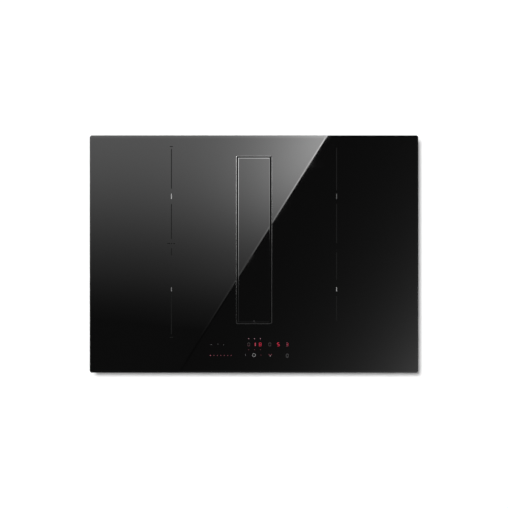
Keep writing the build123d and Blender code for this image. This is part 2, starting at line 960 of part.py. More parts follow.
filter_half = duct_half(2) - filter_clearance
filter_half_length = duct_half_length(2) - filter_clearance
filter_bottom = filter_seat - filter_depth


def filter_block(inset, bottom, top):
    """The filter cassette's space, taken in by inset on every side."""
    return slab(2 * (filter_half - inset), 2 * (filter_half_length - inset), bottom, top, y=slot_y)


def filter_frame():
    """Steel frame of the grease filter: hanging rim, corner angles and a bottom ring."""
    rim_growth = filter_clearance + duct_step - cradle_gap
    rim = filter_block(-rim_growth, filter_seat, filter_seat + filter_rim)
    rim -= filter_block(filter_sheet, filter_seat, filter_seat + filter_rim)
    shell = filter_block(0, filter_bottom, filter_seat)
    shell -= filter_block(filter_sheet, filter_bottom, filter_seat)
    window = filter_seat - 2 * filter_rim - filter_bottom
    low = filter_bottom + 2 * filter_rim
    post = 5 * filter_sheet
    shell -= slab(
        2 * filter_half, 2 * (filter_half_length - post), low, low + window - 2 * filter_rim, y=slot_y
    )
    shell -= slab(
        2 * (filter_half - post), 2 * filter_half_length, low, low + window - 2 * filter_rim, y=slot_y
    )
    return rim + shell


def filter_mesh():
    """Basket of expanded metal inside the frame, with its openings as rows of square holes."""
    outer = filter_block(filter_sheet, filter_bottom, filter_seat + filter_rim)
    inner = filter_block(filter_sheet + mesh_wall, filter_bottom + mesh_wall, filter_seat + filter_rim)
    length = 2 * (filter_half_length - filter_sheet - mesh_wall)
    hole = mesh_pitch - mesh_bar
    count = int((length - mesh_bar) // mesh_pitch)
    side_low = filter_bottom + 3 * filter_rim
    row_height = (filter_seat - filter_rim - side_low) / mesh_rows
    floor_columns = int(2 * (filter_half - filter_sheet - mesh_bar) // mesh_pitch)
    holes = []
    for i in range(count):
        y = slot_y + (i - (count - 1) / 2) * mesh_pitch
        for row in range(mesh_rows):
            low = side_low + row * row_height
            holes.append(slab(2 * filter_half, hole, low, low + row_height - mesh_bar, y=y))
        for column in range(floor_columns):
            x = (column - (floor_columns - 1) / 2) * mesh_pitch
            holes.append(slab(hole, hole, filter_bottom, filter_bottom + mesh_wall, x=x, y=y))
    return outer - inner - holes


def filter_handle():
    """Strap across the filter's rim, with a loop to lift it by."""
    top = filter_seat + filter_rim
    half = filter_half
    strap = slab(2 * half, handle_strap, top, top + handle_sheet, y=slot_y)
    loop = slab(handle_width, handle_strap, top, top + handle_rise, y=slot_y)
    loop -= slab(
        handle_width - 2 * handle_sheet, handle_strap, top, top + handle_rise - handle_sheet, y=slot_y
    )
    opening = slab(
        handle_width - 2 * handle_sheet, handle_strap, top, top + handle_sheet, y=slot_y
    )
    return strap + loop - opening


def drip_tray():
    """Open tray on the tub's floor that catches what runs down, with a rib to lift it by."""
    half = duct_half(2) - tray_clearance
    half_length = duct_half_length(2) - tray_shortening
    low = tub_floor + tub_rib
    high = low + tray_height
    tray = slab(2 * half, 2 * half_length, low, high, tray_clearance, y=slot_y)
    tray -= slab(
        2 * (half - tray_wall), 2 * (half_length - tray_wall), low + tray_wall, high, tray_clearance / 2,
        y=slot_y,
    )
    rib = slab(2 * (half - tray_wall), tray_wall, low, high, y=slot_y)
    rib -= Pos(0, slot_y, high - tray_height / 3) * along_y(rod(tray_height / 4, -tray_wall, tray_wall))
    return tray + rib


# ---- plenum ----

tub_left = -chimney_half - plenum_wall
tub_right = deck_right
tub_front = slot_y - chimney_half_length - plenum_wall
tub_back = slot_y + chimney_half_length + plenum_wall


def tub_screw_places():
    """Screws round the tub's flange."""
    reach = tub_flange / 2
    xs = (tub_left + tub_flange, (tub_left + tub_right) / 2, tub_right - tub_flange)
    ys = (tub_front + tub_flange, (tub_front + tub_back) / 2, tub_back - tub_flange)
    places = [(x, y) for x in xs for y in (tub_front - reach, tub_back + reach)]
    return places + [(x, y) for y in ys for x in (tub_left - reach, tub_right + reach)]


def scroll_arcs():
    """Centre and radius of the scroll's four arcs, seen from above."""
    arcs = [((0.0, 0.0), volute_radius)]
    for k in range(3):
        turn = radians(tongue_angle + 90 * (k + 1))
        (x, y), radius = arcs[-1]
        centre = (x - volute_step * cos(turn), y - volute_step * sin(turn))
        arcs.append((centre, radius + volute_step))
    return arcs


def lug_places():
    """Middle of the first three arcs, just outside the scroll's wall."""
    places = []
    for k, ((x, y), radius) in enumerate(scroll_arcs()[:3]):
        turn = radians(90 * (k + 1))
        reach = radius + scroll_wall + scroll_flange / 2
        places.append((blower_x + x + reach * cos(turn), blower_y + y + reach * sin(turn)))
    return places


def plenum_cover():
    """Moulded cover: a deck over the tub, and a chimney up to the casing round the filter."""
    deck = block(
        tub_left - tub_flange, tub_right + tub_flange, tub_front - tub_flange, tub_back + tub_flange,
        deck_bottom, deck_top,
    )
    chimney = slab(
        2 * (chimney_half + plenum_wall),
        2 * (chimney_half_length + plenum_wall),
        deck_bottom,
        roof_top,
        y=slot_y,
    )
    hollow = slab(2 * chimney_half, 2 * chimney_half_length, deck_bottom, roof_bottom, y=slot_y)
    bosses = [
        rod(2 * screw_radius, roof_bottom - screw_length, roof_bottom, x, y)
        for x, y in roof_screw_places()
    ]
    cuts = [duct_block(2, duct_wall + duct_gap, roof_bottom, roof_top)]
    cuts.append(rod(eye_radius + eye_wall + duct_gap, deck_bottom, deck_top, blower_x, blower_y))
    for x, y in roof_screw_places():
        cuts.append(rod(screw_radius, roof_bottom - screw_length, roof_top, x, y))
    for x, y in tub_screw_places() + lug_places():
        cuts.append(rod(screw_radius, deck_bottom, deck_top, x, y))
    return joined([joined([deck, chimney]) - hollow] + bosses) - cuts


def tub_gussets():
    """Triangular webs that brace the tub's flange, clear of its screws."""
    top = deck_bottom - plenum_wall
    profile = Polyline((-tub_rib, 0), (gusset_reach, 0), (-tub_rib, -gusset_drop), close=True)
    web = Pos(0, tub_rib / 2, top) * extrude(Plane.XZ * make_face(profile), tub_rib)
    webs = []
    for i in range(gussets_per_side):
        share = (i + 0.5) / gussets_per_side
        x = tub_left + share * (tub_right - tub_left)
        y = tub_front + share * (tub_back - tub_front)
        webs.append(Pos(tub_right, y, 0) * web)
        webs.append(Pos(tub_left, y, 0) * Rot(0, 0, 180) * web)
        webs.append(Pos(x, tub_back, 0) * Rot(0, 0, 90) * web)
        webs.append(Pos(x, tub_front, 0) * Rot(0, 0, -90) * web)
    return webs


def plenum_tub():
    """Lower shell: it joins the filter's chimney to the blower's eye and holds the drip tray."""
    shell = block(tub_left, tub_right, tub_front, tub_back, tub_bottom, deck_bottom)
    shell = fillet(shell.edges().filter_by(Axis.Z), 4 * plenum_wall)
    inner = block(
        tub_left + plenum_wall, tub_right - plenum_wall, tub_front + plenum_wall,
        tub_back - plenum_wall, tub_floor, deck_bottom,
    )
    inner = fillet(inner.edges().filter_by(Axis.Z), 3 * plenum_wall)
    flange = block(
        tub_left - tub_flange, tub_right + tub_flange, tub_front - tub_flange, tub_back + tub_flange,
        deck_bottom - plenum_wall, deck_bottom,
    )
    half_length = duct_half_length(2) - tray_shortening
    rib_x = duct_half(2) / 2
    rib_top = tub_floor + tub_rib
    ribs = [
        slab(4 * tub_rib, 2 * half_length, tub_floor, rib_top, x=side * rib_x, y=slot_y)
        for side in (-1, 1)
    ]
    holes = [
        rod(screw_radius, deck_bottom - plenum_wall, deck_bottom, x, y) for x, y in tub_screw_places()
    ]
    return joined([joined([shell, flange] + tub_gussets()) - inner] + ribs) - holes


# ---- blower ----

def volute(extra, end_y):
    """The scroll seen from above, its outline grown by extra and its outlet run out to end_y."""
    left_x = tongue_x - extra
    arcs = [(centre, radius + extra) for centre, radius in scroll_arcs()]
    start = degrees(acos(left_x / arcs[0][1]))
    turns = [start] + [tongue_angle + 90 * (k + 1) for k in range(3)] + [360.0]
    edges = [
        CenterArc(centre, radius, turns[k], turns[k + 1] - turns[k])
        for k, (centre, radius) in enumerate(arcs)
    ]
    (last_x, last_y), last_radius = arcs[-1]
    right_x = last_x + last_radius
    start_y = arcs[0][1] * sin(radians(start))
    end = end_y - blower_y
    edges.append(Polyline((right_x, last_y), (right_x, end), (left_x, end), (left_x, start_y)))
    return make_face(edges)


def scroll_body(extra, bottom, top, end_y):
    """The scroll's space between two levels."""
    return Pos(blower_x, blower_y, bottom) * extrude(volute(extra, end_y), top - bottom)


def scroll_lower():
    """Lower half of the scroll, with the round inlet eye in its floor."""
    shell = scroll_body(scroll_wall, deck_top, scroll_split, outlet_y)
    flange = scroll_body(
        scroll_wall + scroll_flange, scroll_split - scroll_wall, scroll_split, outlet_y
    )
    collar_bottom = deck_bottom
    collar_top = impeller_bottom + impeller_sheet
    eye_outer = eye_radius + eye_wall
    hollow = scroll_body(0, channel_bottom, scroll_split, outlet_y + scroll_wall)
    lugs = [rod(scroll_flange, deck_top, deck_top + scroll_wall, x, y) for x, y in lug_places()]
    body = joined([shell, flange] + lugs) - hollow
    collar = rod(eye_outer, collar_bottom, collar_top, blower_x, blower_y)
    eye = rod(eye_radius, collar_bottom, collar_top, blower_x, blower_y)
    holes = []
    for x, y in lug_places():
        holes.append(rod(screw_radius, deck_top, deck_top + scroll_wall, x, y))
        holes.append(rod(screw_radius, scroll_split - scroll_wall, scroll_split, x, y))
    return body + collar - eye - holes


def scroll_upper():
    """Upper half of the scroll. The motor hangs from its ceiling."""
    shell = scroll_body(scroll_wall, scroll_split, scroll_top, outlet_y)
    flange = scroll_body(
        scroll_wall + scroll_flange, scroll_split, scroll_split + scroll_wall, outlet_y
    )
    hollow = scroll_body(0, scroll_split, channel_top, outlet_y + scroll_wall)
    holes = [rod(screw_radius, scroll_split, scroll_split + scroll_wall, x, y) for x, y in lug_places()]
    holes += [rod(screw_radius, channel_top, scroll_top, x, y) for x, y in motor_screw_places()]
    return joined([shell, flange]) - hollow - holes


def motor_screw_places():
    """Screws through the scroll's ceiling into the motor's flange."""
    reach = motor_radius + motor_flange / 2
    turns = [radians(45 + 90 * i) for i in range(4)]
    return [(blower_x + reach * cos(t), blower_y + reach * sin(t)) for t in turns]


def motor_housing():
    """Motor can with its flange, and a bearing bush at each end of the shaft."""
    can_top = motor_top - motor_flange_thickness
    can = rod(motor_radius, motor_bottom, can_top)
    flange = rod(motor_radius + motor_flange, can_top, motor_top)
    hollow = rod(motor_radius - motor_wall, motor_bottom + motor_wall, can_top)
    bush = rod(2 * shaft_radius, motor_bottom, motor_bottom + 3 * motor_wall)
    upper_bush = rod(2 * shaft_radius, can_top - 3 * motor_wall, can_top)
    bore = rod(shaft_radius + shaft_clearance, motor_bottom, can_top)
    holes = [
        rod(screw_radius, can_top, motor_top, x - blower_x, y - blower_y)
        for x, y in motor_screw_places()
    ]
    housing = joined([joined([can, flange]) - hollow, bush, upper_bush]) - [bore] - holes
    return Pos(blower_x, blower_y, 0) * housing


def motor_stator():
    """Wound stator ring inside the can."""
    outer = motor_radius - motor_wall
    low = motor_bottom + 4 * motor_wall
    high = motor_top - motor_flange_thickness - 4 * motor_wall
    return tube(outer, outer - stator_thickness, low, high, blower_x, blower_y)


def motor_rotor():
    """Shaft with the magnet rotor on it. Its lower end carries the impeller."""
    low = motor_bottom + 4 * motor_wall
    high = motor_top - motor_flange_thickness - 4 * motor_wall
    radius = motor_radius - motor_wall - stator_thickness - rotor_gap
    shaft_top = motor_top - motor_flange_thickness - motor_wall / 2
    shaft_end = dish_top - 2 * impeller_sheet
    pieces = [rod(shaft_radius, shaft_end, shaft_top), rod(radius, low, high)]
    return Pos(blower_x, blower_y, 0) * joined(pieces)


def impeller():
    """Drum of curved blades between a lower ring and a back plate dished round the motor."""
    ring_inner = blade_root - impeller_sheet
    ring = tube(impeller_radius, ring_inner, impeller_bottom, blade_bottom)
    plate_top = blade_top + impeller_sheet
    back = tube(impeller_radius, dish_radius, blade_top, plate_top)
    wall = tube(dish_radius + impeller_sheet, dish_radius, dish_top - impeller_sheet, plate_top)
    floor = rod(dish_radius, dish_top - impeller_sheet, dish_top)
    hub = rod(hub_radius, dish_top - 3 * impeller_sheet, dish_top)
    blade_middle = blade_root + blade_chord / 2
    bow = blade_chord / 6
    inner = (blade_root, 0)
    middle = (blade_middle, bow)
    tip = (impeller_radius - blade_thickness, -bow)
    path = ThreePointArc(inner, middle, tip)
    back_path = ThreePointArc(
        (tip[0], tip[1] + blade_thickness), (middle[0], middle[1] + blade_thickness),
        (inner[0], inner[1] + blade_thickness),
    )
    outline = [
        path,
        Line(path @ 1, back_path @ 0),
        back_path,
        Line(back_path @ 1, path @ 0),
    ]
    blade = Pos(0, 0, blade_bottom) * extrude(make_face(outline), blade_height)
    blades = [Rot(0, 0, i * 360 / impeller_blades) * blade for i in range(impeller_blades)]
    body = joined([ring, back, wall, floor, hub] + blades)
    bore = rod(shaft_radius, dish_top - 3 * impeller_sheet, dish_top)
    return Pos(blower_x, blower_y, 0) * (body - bore)


def blower_screws():
    """Screws of the scroll's lugs and flange, and those that hold the motor."""
    screws = []
    for x, y in lug_places():
        screws.append(Pos(x, y, deck_top + scroll_wall) * screw(length=scroll_wall + plenum_wall))
        screws.append(Pos(x, y, scroll_split + scroll_wall) * screw(length=2 * scroll_wall))
    length = scroll_wall + motor_flange_thickness
    for x, y in motor_screw_places():
        screws.append(Pos(x, y, scroll_top) * screw(length=length))
    return screws


def plenum_screws():
    """Screws that hang the plenum under the casing, and those round the tub's flange."""
    screws = []
    hanging = casing_sheet + plenum_seal + plenum_wall + screw_bite
    for x, y in roof_screw_places():
        screws.append(Pos(x, y, casing_floor) * screw(length=hanging))
    for x, y in tub_screw_places():
        screw_up = Rot(180, 0, 0) * screw(length=2 * plenum_wall)
        screws.append(Pos(x, y, deck_bottom - plenum_wall) * screw_up)
    return screws


def outlet_section(width, height, right, y):
    """An upright rectangle facing the back, given by its right edge."""
    middle = (channel_top + channel_bottom) / 2
    plane = Plane(origin=(right - width / 2, y, middle), x_dir=(1, 0, 0), z_dir=(0, 1, 0))
    return plane * Rectangle(width, height)


def outlet_adapter():
    """Flared duct from the scroll's outlet to a collar for flat duct at the rear."""
    (last_x, _), last_radius = scroll_arcs()[-1]
    right = blower_x + last_x + last_radius
    throat = right - blower_x - tongue_x
    collar_y = duct_mouth_y - outlet_collar
    grow = 2 * scroll_wall
    mouth_width = outlet_width - grow
    mouth_height = outlet_height - grow
    pieces = []
    for extra, overrun in ((grow, 0.0), (0.0, scroll_wall)):
        shift = extra / 2
        inlet = outlet_section(throat + extra, channel_height + extra, right + shift, outlet_y)
        mouth = outlet_section(mouth_width + extra, mouth_height + extra, right + shift, collar_y)
        flare = loft([inlet, mouth], ruled=True)
        collar = extrude(mouth, outlet_collar + overrun)
        pieces.append(joined([flare, collar]))
    return pieces[0] - pieces[1]


# ---- mains connection ----

def terminal_box():
    """Connection box under the casing, open at the bottom for its cover."""
    outer = slab(box_width, box_depth, box_bottom, casing_bottom, box_wall, x=box_x, y=box_y)
    inner = slab(
        box_width - 2 * box_wall, box_depth - 2 * box_wall, box_bottom, casing_bottom, x=box_x, y=box_y
    )
    return outer - inner - gland_bar(gland_radius)


def terminal_box_cover():
    """Lid of the connection box, with a rim that snaps inside it."""
    lid = slab(box_width, box_depth, box_bottom - box_wall, box_bottom, box_wall, x=box_x, y=box_y)
    rim_width = box_width - 2 * box_wall
    rim_depth = box_depth - 2 * box_wall
    rim = slab(rim_width, rim_depth, box_bottom, box_bottom + box_wall, x=box_x, y=box_y)
    rim -= slab(
        rim_width - 2 * box_wall, rim_depth - 2 * box_wall, box_bottom, box_bottom + box_wall,
        x=box_x, y=box_y,
    )
    return lid + rim


def terminal_block():
    """Row of screw terminals, fixed to the casing's underside in front of the cable hole."""
    y = box_y - box_depth / 2 + box_wall + block_depth / 2 + box_wall
    low = casing_bottom - block_height
    body = slab(block_width, block_depth, low, casing_bottom, x=box_x, y=y)
    pitch = block_width / block_ways
    holes = []
    for i in range(block_ways):
        x = box_x + (i - (block_ways - 1) / 2) * pitch
        holes.append(rod(pitch / 4, low, low + block_height / 2, x, y))
    return body - holes


def gland_bar(radius, front=0.0, back=0.0):
    """Round bar along the cable's axis through the box's rear wall."""
    wall_y = box_y + box_depth / 2
    z = casing_bottom - box_height / 2
    bar = along_y(rod(radius, -box_wall - front, back))
    return Pos(box_x, wall_y, z) * bar


def cable_gland():
    """Cable gland: thread through the wall, a nut inside and a hexagon with a dome outside."""
    wall_y = box_y + box_depth / 2
    z = casing_bottom - box_height / 2
    place = Pos(box_x, wall_y, z)
    hexagon = RegularPolygon(gland_hexagon, 6)
    nut = place * along_y(Pos(0, 0, -box_wall - gland_nut) * extrude(hexagon, gland_nut))
    head = place * along_y(extrude(hexagon, gland_body / 2))
    dome = gland_bar(gland_radius, back=gland_body)
    shank = gland_bar(gland_radius, front=gland_nut)
    bore = gland_bar(cable_hole_radius, front=gland_nut, back=gland_body)
    return joined([nut, head, dome, shank]) - bore


# ---- everything, by name ----

nodes = {
    "glass_top": glass_top(),
    "worktop_gasket": worktop_gasket(),
    "mounting_frame": mounting_frame(),
    "slot_trim": slot_trim(),
    "casing_pan": casing_pan(),
    "casing_screws": casing_screws(),
    "side_clips": side_clips(),
    "ferrite_bars": ferrite_bars(),
    "coil_sensors": coil_sensors(),
    "coil_springs": coil_springs(),
    "mains_filter_board": mains_filter_board(),
    "touch_board": touch_board(),
    "touch_board_tray": touch_board_tray(),
    "touch_springs": touch_springs(),
    "display_modules": display_modules(),
    "intake_duct": intake_duct(),
    "duct_seals": duct_seals(),
    "plenum_cover": plenum_cover(),
    "plenum_tub": plenum_tub(),
    "plenum_screws": plenum_screws(),
    "scroll_lower": scroll_lower(),
    "scroll_upper": scroll_upper(),
    "blower_screws": blower_screws(),
    "motor_housing": motor_housing(),
    "motor_stator": motor_stator(),
    "motor_rotor": motor_rotor(),
    "impeller": impeller(),
    "outlet_adapter": outlet_adapter(),
    "terminal_box": terminal_box(),
    "terminal_box_cover": terminal_box_cover(),
    "terminal_block": terminal_block(),
    "cable_gland": cable_gland(),
    "flap_cradle": flap_cradle(),
    "flap_glass": flap_glass(),
    "flap_carrier": flap_carrier(),
    "flap_pins": flap_pins(),
    "filter_frame": filter_frame(),
    "filter_mesh": filter_mesh(),
    "filter_handle": filter_handle(),
    "drip_tray": drip_tray(),
}
for name, side in (("left", -1), ("right", 1)):
    nodes[f"insulation_sheet_{name}"] = insulation_sheet(side)
    nodes[f"coil_carrier_{name}"] = coil_carrier(side)
    nodes[f"power_board_{name}"] = power_board(side)
    nodes[f"heatsink_{name}"] = heatsink(side)
for name, (x, y) in coil_places().items():
    nodes[f"coil_winding_{name}"] = coil_winding(x, y)
    nodes[f"coil_former_{name}"] = coil_former(x, y)
for name, (x, y) in fan_places().items():
    nodes[f"fan_housing_{name}"] = fan_housing(x, y)
    nodes[f"fan_rotor_{name}"] = fan_rotor(x, y)

os.makedirs("parts", exist_ok=True)
for name, shape in nodes.items():
    group = Compound(children=shape) if isinstance(shape, list) else shape
    export_step(group, f"parts/{name}.step")
print("blower axis", round(blower_x, 2), round(blower_y, 2), "fans", round(fan_x, 2), round(fan_y, 2))
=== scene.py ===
# %% [markdown]
# # A hob with a hood in its middle
# The real object is a black glass hob with a long slot. A glass flap turns in the slot, and a blower under
# the worktop draws the steam down through it. The solids come from the packed model, so this lesson only
# gives them their finishes, adds the marks on the glass and sets up a small studio.

# %% Load the model and keep its size
from math import pi, radians

import bpy
import numpy as np
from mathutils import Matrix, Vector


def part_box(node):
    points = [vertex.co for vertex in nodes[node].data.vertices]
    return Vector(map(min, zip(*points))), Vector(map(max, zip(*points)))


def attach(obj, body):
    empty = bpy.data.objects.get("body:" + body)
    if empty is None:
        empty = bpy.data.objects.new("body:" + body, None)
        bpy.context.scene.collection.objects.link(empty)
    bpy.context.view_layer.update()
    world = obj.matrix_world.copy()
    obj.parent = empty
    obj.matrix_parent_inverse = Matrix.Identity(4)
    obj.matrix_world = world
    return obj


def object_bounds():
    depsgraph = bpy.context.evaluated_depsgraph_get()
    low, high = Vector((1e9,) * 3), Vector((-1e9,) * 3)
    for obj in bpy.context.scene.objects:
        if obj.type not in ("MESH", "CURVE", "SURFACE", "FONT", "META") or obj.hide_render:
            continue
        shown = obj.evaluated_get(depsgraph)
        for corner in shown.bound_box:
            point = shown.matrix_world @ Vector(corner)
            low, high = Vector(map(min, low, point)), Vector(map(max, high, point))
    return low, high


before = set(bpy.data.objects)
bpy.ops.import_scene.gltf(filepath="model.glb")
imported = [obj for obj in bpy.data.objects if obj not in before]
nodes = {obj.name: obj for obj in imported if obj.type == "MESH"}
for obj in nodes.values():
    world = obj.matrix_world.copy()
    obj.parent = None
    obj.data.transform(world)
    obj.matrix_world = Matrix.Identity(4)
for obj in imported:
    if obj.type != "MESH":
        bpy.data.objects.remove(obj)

cad_box = [list(corner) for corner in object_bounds()]
glass_low, glass_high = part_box("glass_top")
flap_low, flap_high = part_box("flap_glass")
floor_level = cad_box[0][2]
print("nodes", len(nodes), "glass", glass_low, glass_high, "floor", round(floor_level, 4))

# %% [markdown]
# ## Writing a finish as sums
# A finish is a net of nodes, and long nets are hard to read. Wiring by hand would work too, but a sum such
# as `1 - mask * 0.5` can be checked by eye. So one small class wraps a node's output, and each operator
# that is used on it adds the Math node that does the same.

# %% A socket that can be used in sums


class Wire:
    """A node's output in a sum: each operator adds one Math node and gives back its output."""

    def __init__(self, net, socket):
        self.net = net
        self.socket = socket

    def sum_of(self, operation, *values):
        return self.net.node("ShaderNodeMath", {"operation": operation}, dict(enumerate(values)))

    def __add__(self, other):
        return self.sum_of("ADD", self, other)

    def __radd__(self, other):
        return self.sum_of("ADD", other, self)

    def __sub__(self, other):
        return self.sum_of("SUBTRACT", self, other)

    def __rsub__(self, other):
        return self.sum_of("SUBTRACT", other, self)

    def __mul__(self, other):
        return self.sum_of("MULTIPLY", self, other)

    def __rmul__(self, other):
        return self.sum_of("MULTIPLY", other, self)

    def __truediv__(self, other):
        return self.sum_of("DIVIDE", self, other)

    def __pow__(self, other):
        return self.sum_of("POWER", self, other)

    def at_least(self, low):
        return self.sum_of("MAXIMUM", self, low)

    def at_most(self, high):
        return self.sum_of("MINIMUM", self, high)

    def exp(self):
        return self.sum_of("EXPONENT", self)

    def size(self):
        return self.sum_of("ABSOLUTE", self)

    def wave(self):
        return self.sum_of("SINE", self)

    def above(self, limit):
        return self.sum_of("GREATER_THAN", self, limit)

    def ramp(self, low, high):
        """0 at low, 1 at high and a soft step between; low may be the higher of the two."""
        return self.net.node(
            "ShaderNodeMapRange",
            {"interpolation_type": "SMOOTHSTEP"},
            {"Value": self, "From Min": low, "From Max": high},
        )


print("a wire knows", [name for name in vars(Wire) if not name.startswith("__")])

# %% [markdown]
# ## Any other node
# Every node is made the same way: its settings first, then the values or links of its sockets. One method
# does that for a material and for the sky alike, so no other code has to know how nodes are wired.

# %% A net of nodes


class Net:
    """A tree of nodes, and the calls that add to it."""

    def __init__(self, tree):
        self.tree = tree

    def node(self, kind, settings=None, sockets=None, output=0):
        """Makes a node, makes its settings, then fills its sockets with values or links."""
        node = self.tree.nodes.new(kind)
        for label, value in (settings or {}).items():
            setattr(node, label, value)
        for label, value in (sockets or {}).items():
            self.fill(node.inputs[label], value)
        return Wire(self, node.outputs[output])

    def fill(self, socket, value):
        """Puts a link or a plain value into a socket."""
        if isinstance(value, Wire):
            self.tree.links.new(value.socket, socket)
        else:
            socket.default_value = value

    def numbers(self, vector):
        """The three numbers of a vector."""
        split = self.node("ShaderNodeSeparateXYZ", sockets={"Vector": vector}).socket.node
        return [Wire(self, output) for output in split.outputs]

    def seen_by_eye(self):
        """1 for what the camera sees, straight, in a mirror or through glass, and 0 for what only lights."""
        kinds = ("Is Camera Ray", "Is Glossy Ray", "Is Transmission Ray")
        camera_ray, glossy, through = (self.node("ShaderNodeLightPath", output=kind) for kind in kinds)
        return camera_ray.at_least(glossy).at_least(through)


print("a net knows", [name for name in vars(Net) if not name.startswith("__")])

# %% [markdown]
# ## What finishes are made of
# Real surfaces vary: grain, cloudiness, wear on the edges. All of that is worked out from the point's own
# place in the model, in metres, and from the way its face looks, because such a pattern stays put when the
# view changes. The calls below are the few patterns that most finishes of this hob are put together from.

# %% A finish in the making


class Finish(Net):
    """A material with its shader, and the patterns that feed it."""

    def __init__(self, name, **fixed):
        self.material = bpy.data.materials.new(name)
        self.material.use_nodes = True
        super().__init__(self.material.node_tree)
        self.shader = self.tree.nodes["Principled BSDF"]
        self.set(**fixed)

    def set(self, **sockets):
        """Fills the shader's sockets: an underscore in a name stands for a space."""
        for label, value in sockets.items():
            self.fill(self.shader.inputs[label.replace("_", " ")], value)

    def show(self, surface_shader):
        """Makes another shader the one that the surface shows."""
        self.fill(self.tree.nodes["Material Output"].inputs["Surface"], surface_shader)

    def place(self):
        """The point being shaded in metres, as a vector in the model's own frame."""
        return self.node("ShaderNodeTexCoord", output="Object")

    def axes(self):
        """The same point as three numbers."""
        return self.numbers(self.place())

    def facing(self):
        """The face's own normal as three numbers."""
        return self.numbers(self.node("ShaderNodeNewGeometry", output="True Normal"))

    def inside(self, low, high):
        """How far inside a box the point lies, seen from above: 0 on its four sides and negative outside."""
        x, y = self.axes()[:2]
        from_x = (high.x - low.x) / 2 - (x - (high.x + low.x) / 2).size()
        from_y = (high.y - low.y) / 2 - (y - (high.y + low.y) / 2).size()
        return from_x.at_most(from_y)

    def stretched(self, x, y, z, turn=0.0):
        """The place, scaled apart along the three axes, for a pattern with a grain."""
        return self.node(
            "ShaderNodeMapping",
            sockets={"Vector": self.place(), "Scale": (x, y, z), "Rotation": (0, 0, turn)},
        )

    def noise(self, scale, vector=None, detail=2.0):
        """Soft random values round 0.5; scale counts the blobs in a metre."""
        return self.node(
            "ShaderNodeTexNoise",
            sockets={"Vector": vector or self.place(), "Scale": scale, "Detail": detail},
        )

    def cells(self, scale, output=0):
        """Random cells: the distance from each cell's middle, or its colour."""
        sockets = {"Vector": self.place(), "Scale": scale}
        return self.node("ShaderNodeTexVoronoi", {"feature": "F1"}, sockets, output)

    def mix(self, share, first, second):
        """A colour between two colours."""
        return self.node("ShaderNodeMix", {"data_type": "RGBA"}, {0: share, 6: first, 7: second}, 2)

    def blend(self, share, first, second):
        """A vector between two vectors."""
        return self.node("ShaderNodeMix", {"data_type": "VECTOR"}, {0: share, 4: first, 5: second}, 1)

    def tone(self, level):
        """A grey whose level is a value."""
        return self.node("ShaderNodeCombineColor", sockets={"Red": level, "Green": level, "Blue": level})

    def bump(self, height, depth):
        """The normal that a relief of that depth in metres gives."""
        return self.node("ShaderNodeBump", sockets={"Height": height, "Distance": depth, "Strength": 1.0})

    def worn_edge(self, radius):
        """1 on sharp edges and 0 on flats, from how far a rounded normal turns off the real one."""
        soft = self.node("ShaderNodeBevel", {"samples": 4}, {"Radius": radius})
        hard = self.node("ShaderNodeNewGeometry", output="Normal")
        alike = self.node("ShaderNodeVectorMath", {"operation": "DOT_PRODUCT"}, {0: soft, 1: hard}, "Value")
        return (1 - alike).ramp(0.01, 0.16)


print("a finish knows", [name for name in vars(Finish) if not name.startswith("__")])

# %% Putting a finish on solids


def dress(finish, *names):
    """Gives CAD nodes their finish."""
    for name in names:
        for place in nodes[name].material_slots:
            place.material = finish.material
    print(finish.material.name, "on", *names)


def grey(level, warm=0.0):
    """A near-neutral colour: warm above 0 leans to red and below 0 to blue."""
    return (level * (1 + warm), level, level * (1 - warm), 1.0)


print("middle grey", grey(0.2), "a warm one", grey(0.2, 0.05))

# %% [markdown]
# ## Camera
# The photograph looks straight down on the middle of the glass and shows no side of anything. A very long
# lens from twenty metres up does almost the same: the slot's walls stay hidden, and the shadow on the
# floor starts close to the glass's edge.

# %% Camera
picture_width = 1.1133  # metres of the glass's plane across the whole frame
aim_x, aim_y = 0.0, 0.0001  # the place on the glass in the middle of the frame
lens_length = 650  # millimetres, as is the sensor's width
sensor_width = 36
camera_height = picture_width * lens_length / sensor_width
camera_data = bpy.data.cameras.new("camera")
camera_data.lens = lens_length
camera_data.sensor_width = sensor_width
camera = bpy.data.objects.new("camera", camera_data)
camera.location = (aim_x, aim_y, glass_high.z + camera_height)
bpy.context.scene.collection.objects.link(camera)
bpy.context.scene.camera = camera
bpy.context.scene.view_settings.view_transform = "Standard"
print("camera", round(camera.location.z, 3), "metres up")

# %% [markdown]
# ## Light
# In the photograph a narrow shadow shows only to the right and below, so the light stands almost overhead,
# a little to the upper left. A sun with a wide disc gives the shadow its soft edge, and a dim even sky
# fills it. The sky is white only to the eye, straight or in a mirror, so the white studio shows in metal
# and glass without washing the object out. The sun is left out of mirrors, so it makes no bright spot.

# %% Sun
shadow_down, shadow_right = 0.0397, 0.0398  # metres that a shadow moves for each metre of height
sun_data = bpy.data.lights.new("window_light", "SUN")
sun_data.energy = 2.95
sun_data.angle = radians(3.5)
sun = bpy.data.objects.new("window_light", sun_data)
sun.rotation_euler = (np.arctan(-shadow_down), np.arctan(-shadow_right), 0)
sun.visible_glossy = False
bpy.context.scene.collection.objects.link(sun)
print("sun", sun_data.energy)

# %% Sky
sky_fill = 0.17  # how bright the sky is as a light; what the eye sees of it is 1
world = bpy.data.worlds.new("studio")
world.use_nodes = True
bpy.context.scene.world = world
sky = Net(world.node_tree)
backdrop = world.node_tree.nodes["Background"]
sky.fill(backdrop.inputs["Color"], (1, 1, 1, 1))
sky.fill(backdrop.inputs["Strength"], sky_fill + (1 - sky_fill) * sky.seen_by_eye())
print("sky fill", sky_fill)

# %% [markdown]
# ## Surfaces from grids
# Every piece that this lesson adds is a grid of points worked out by a formula. The grid could be built
# vertex by vertex, but whole arrays are shorter and faster, and the same function then serves a flat
# sheet, a printed stroke, a round lamp and a ring. It turns each grid so that its faces look outwards.

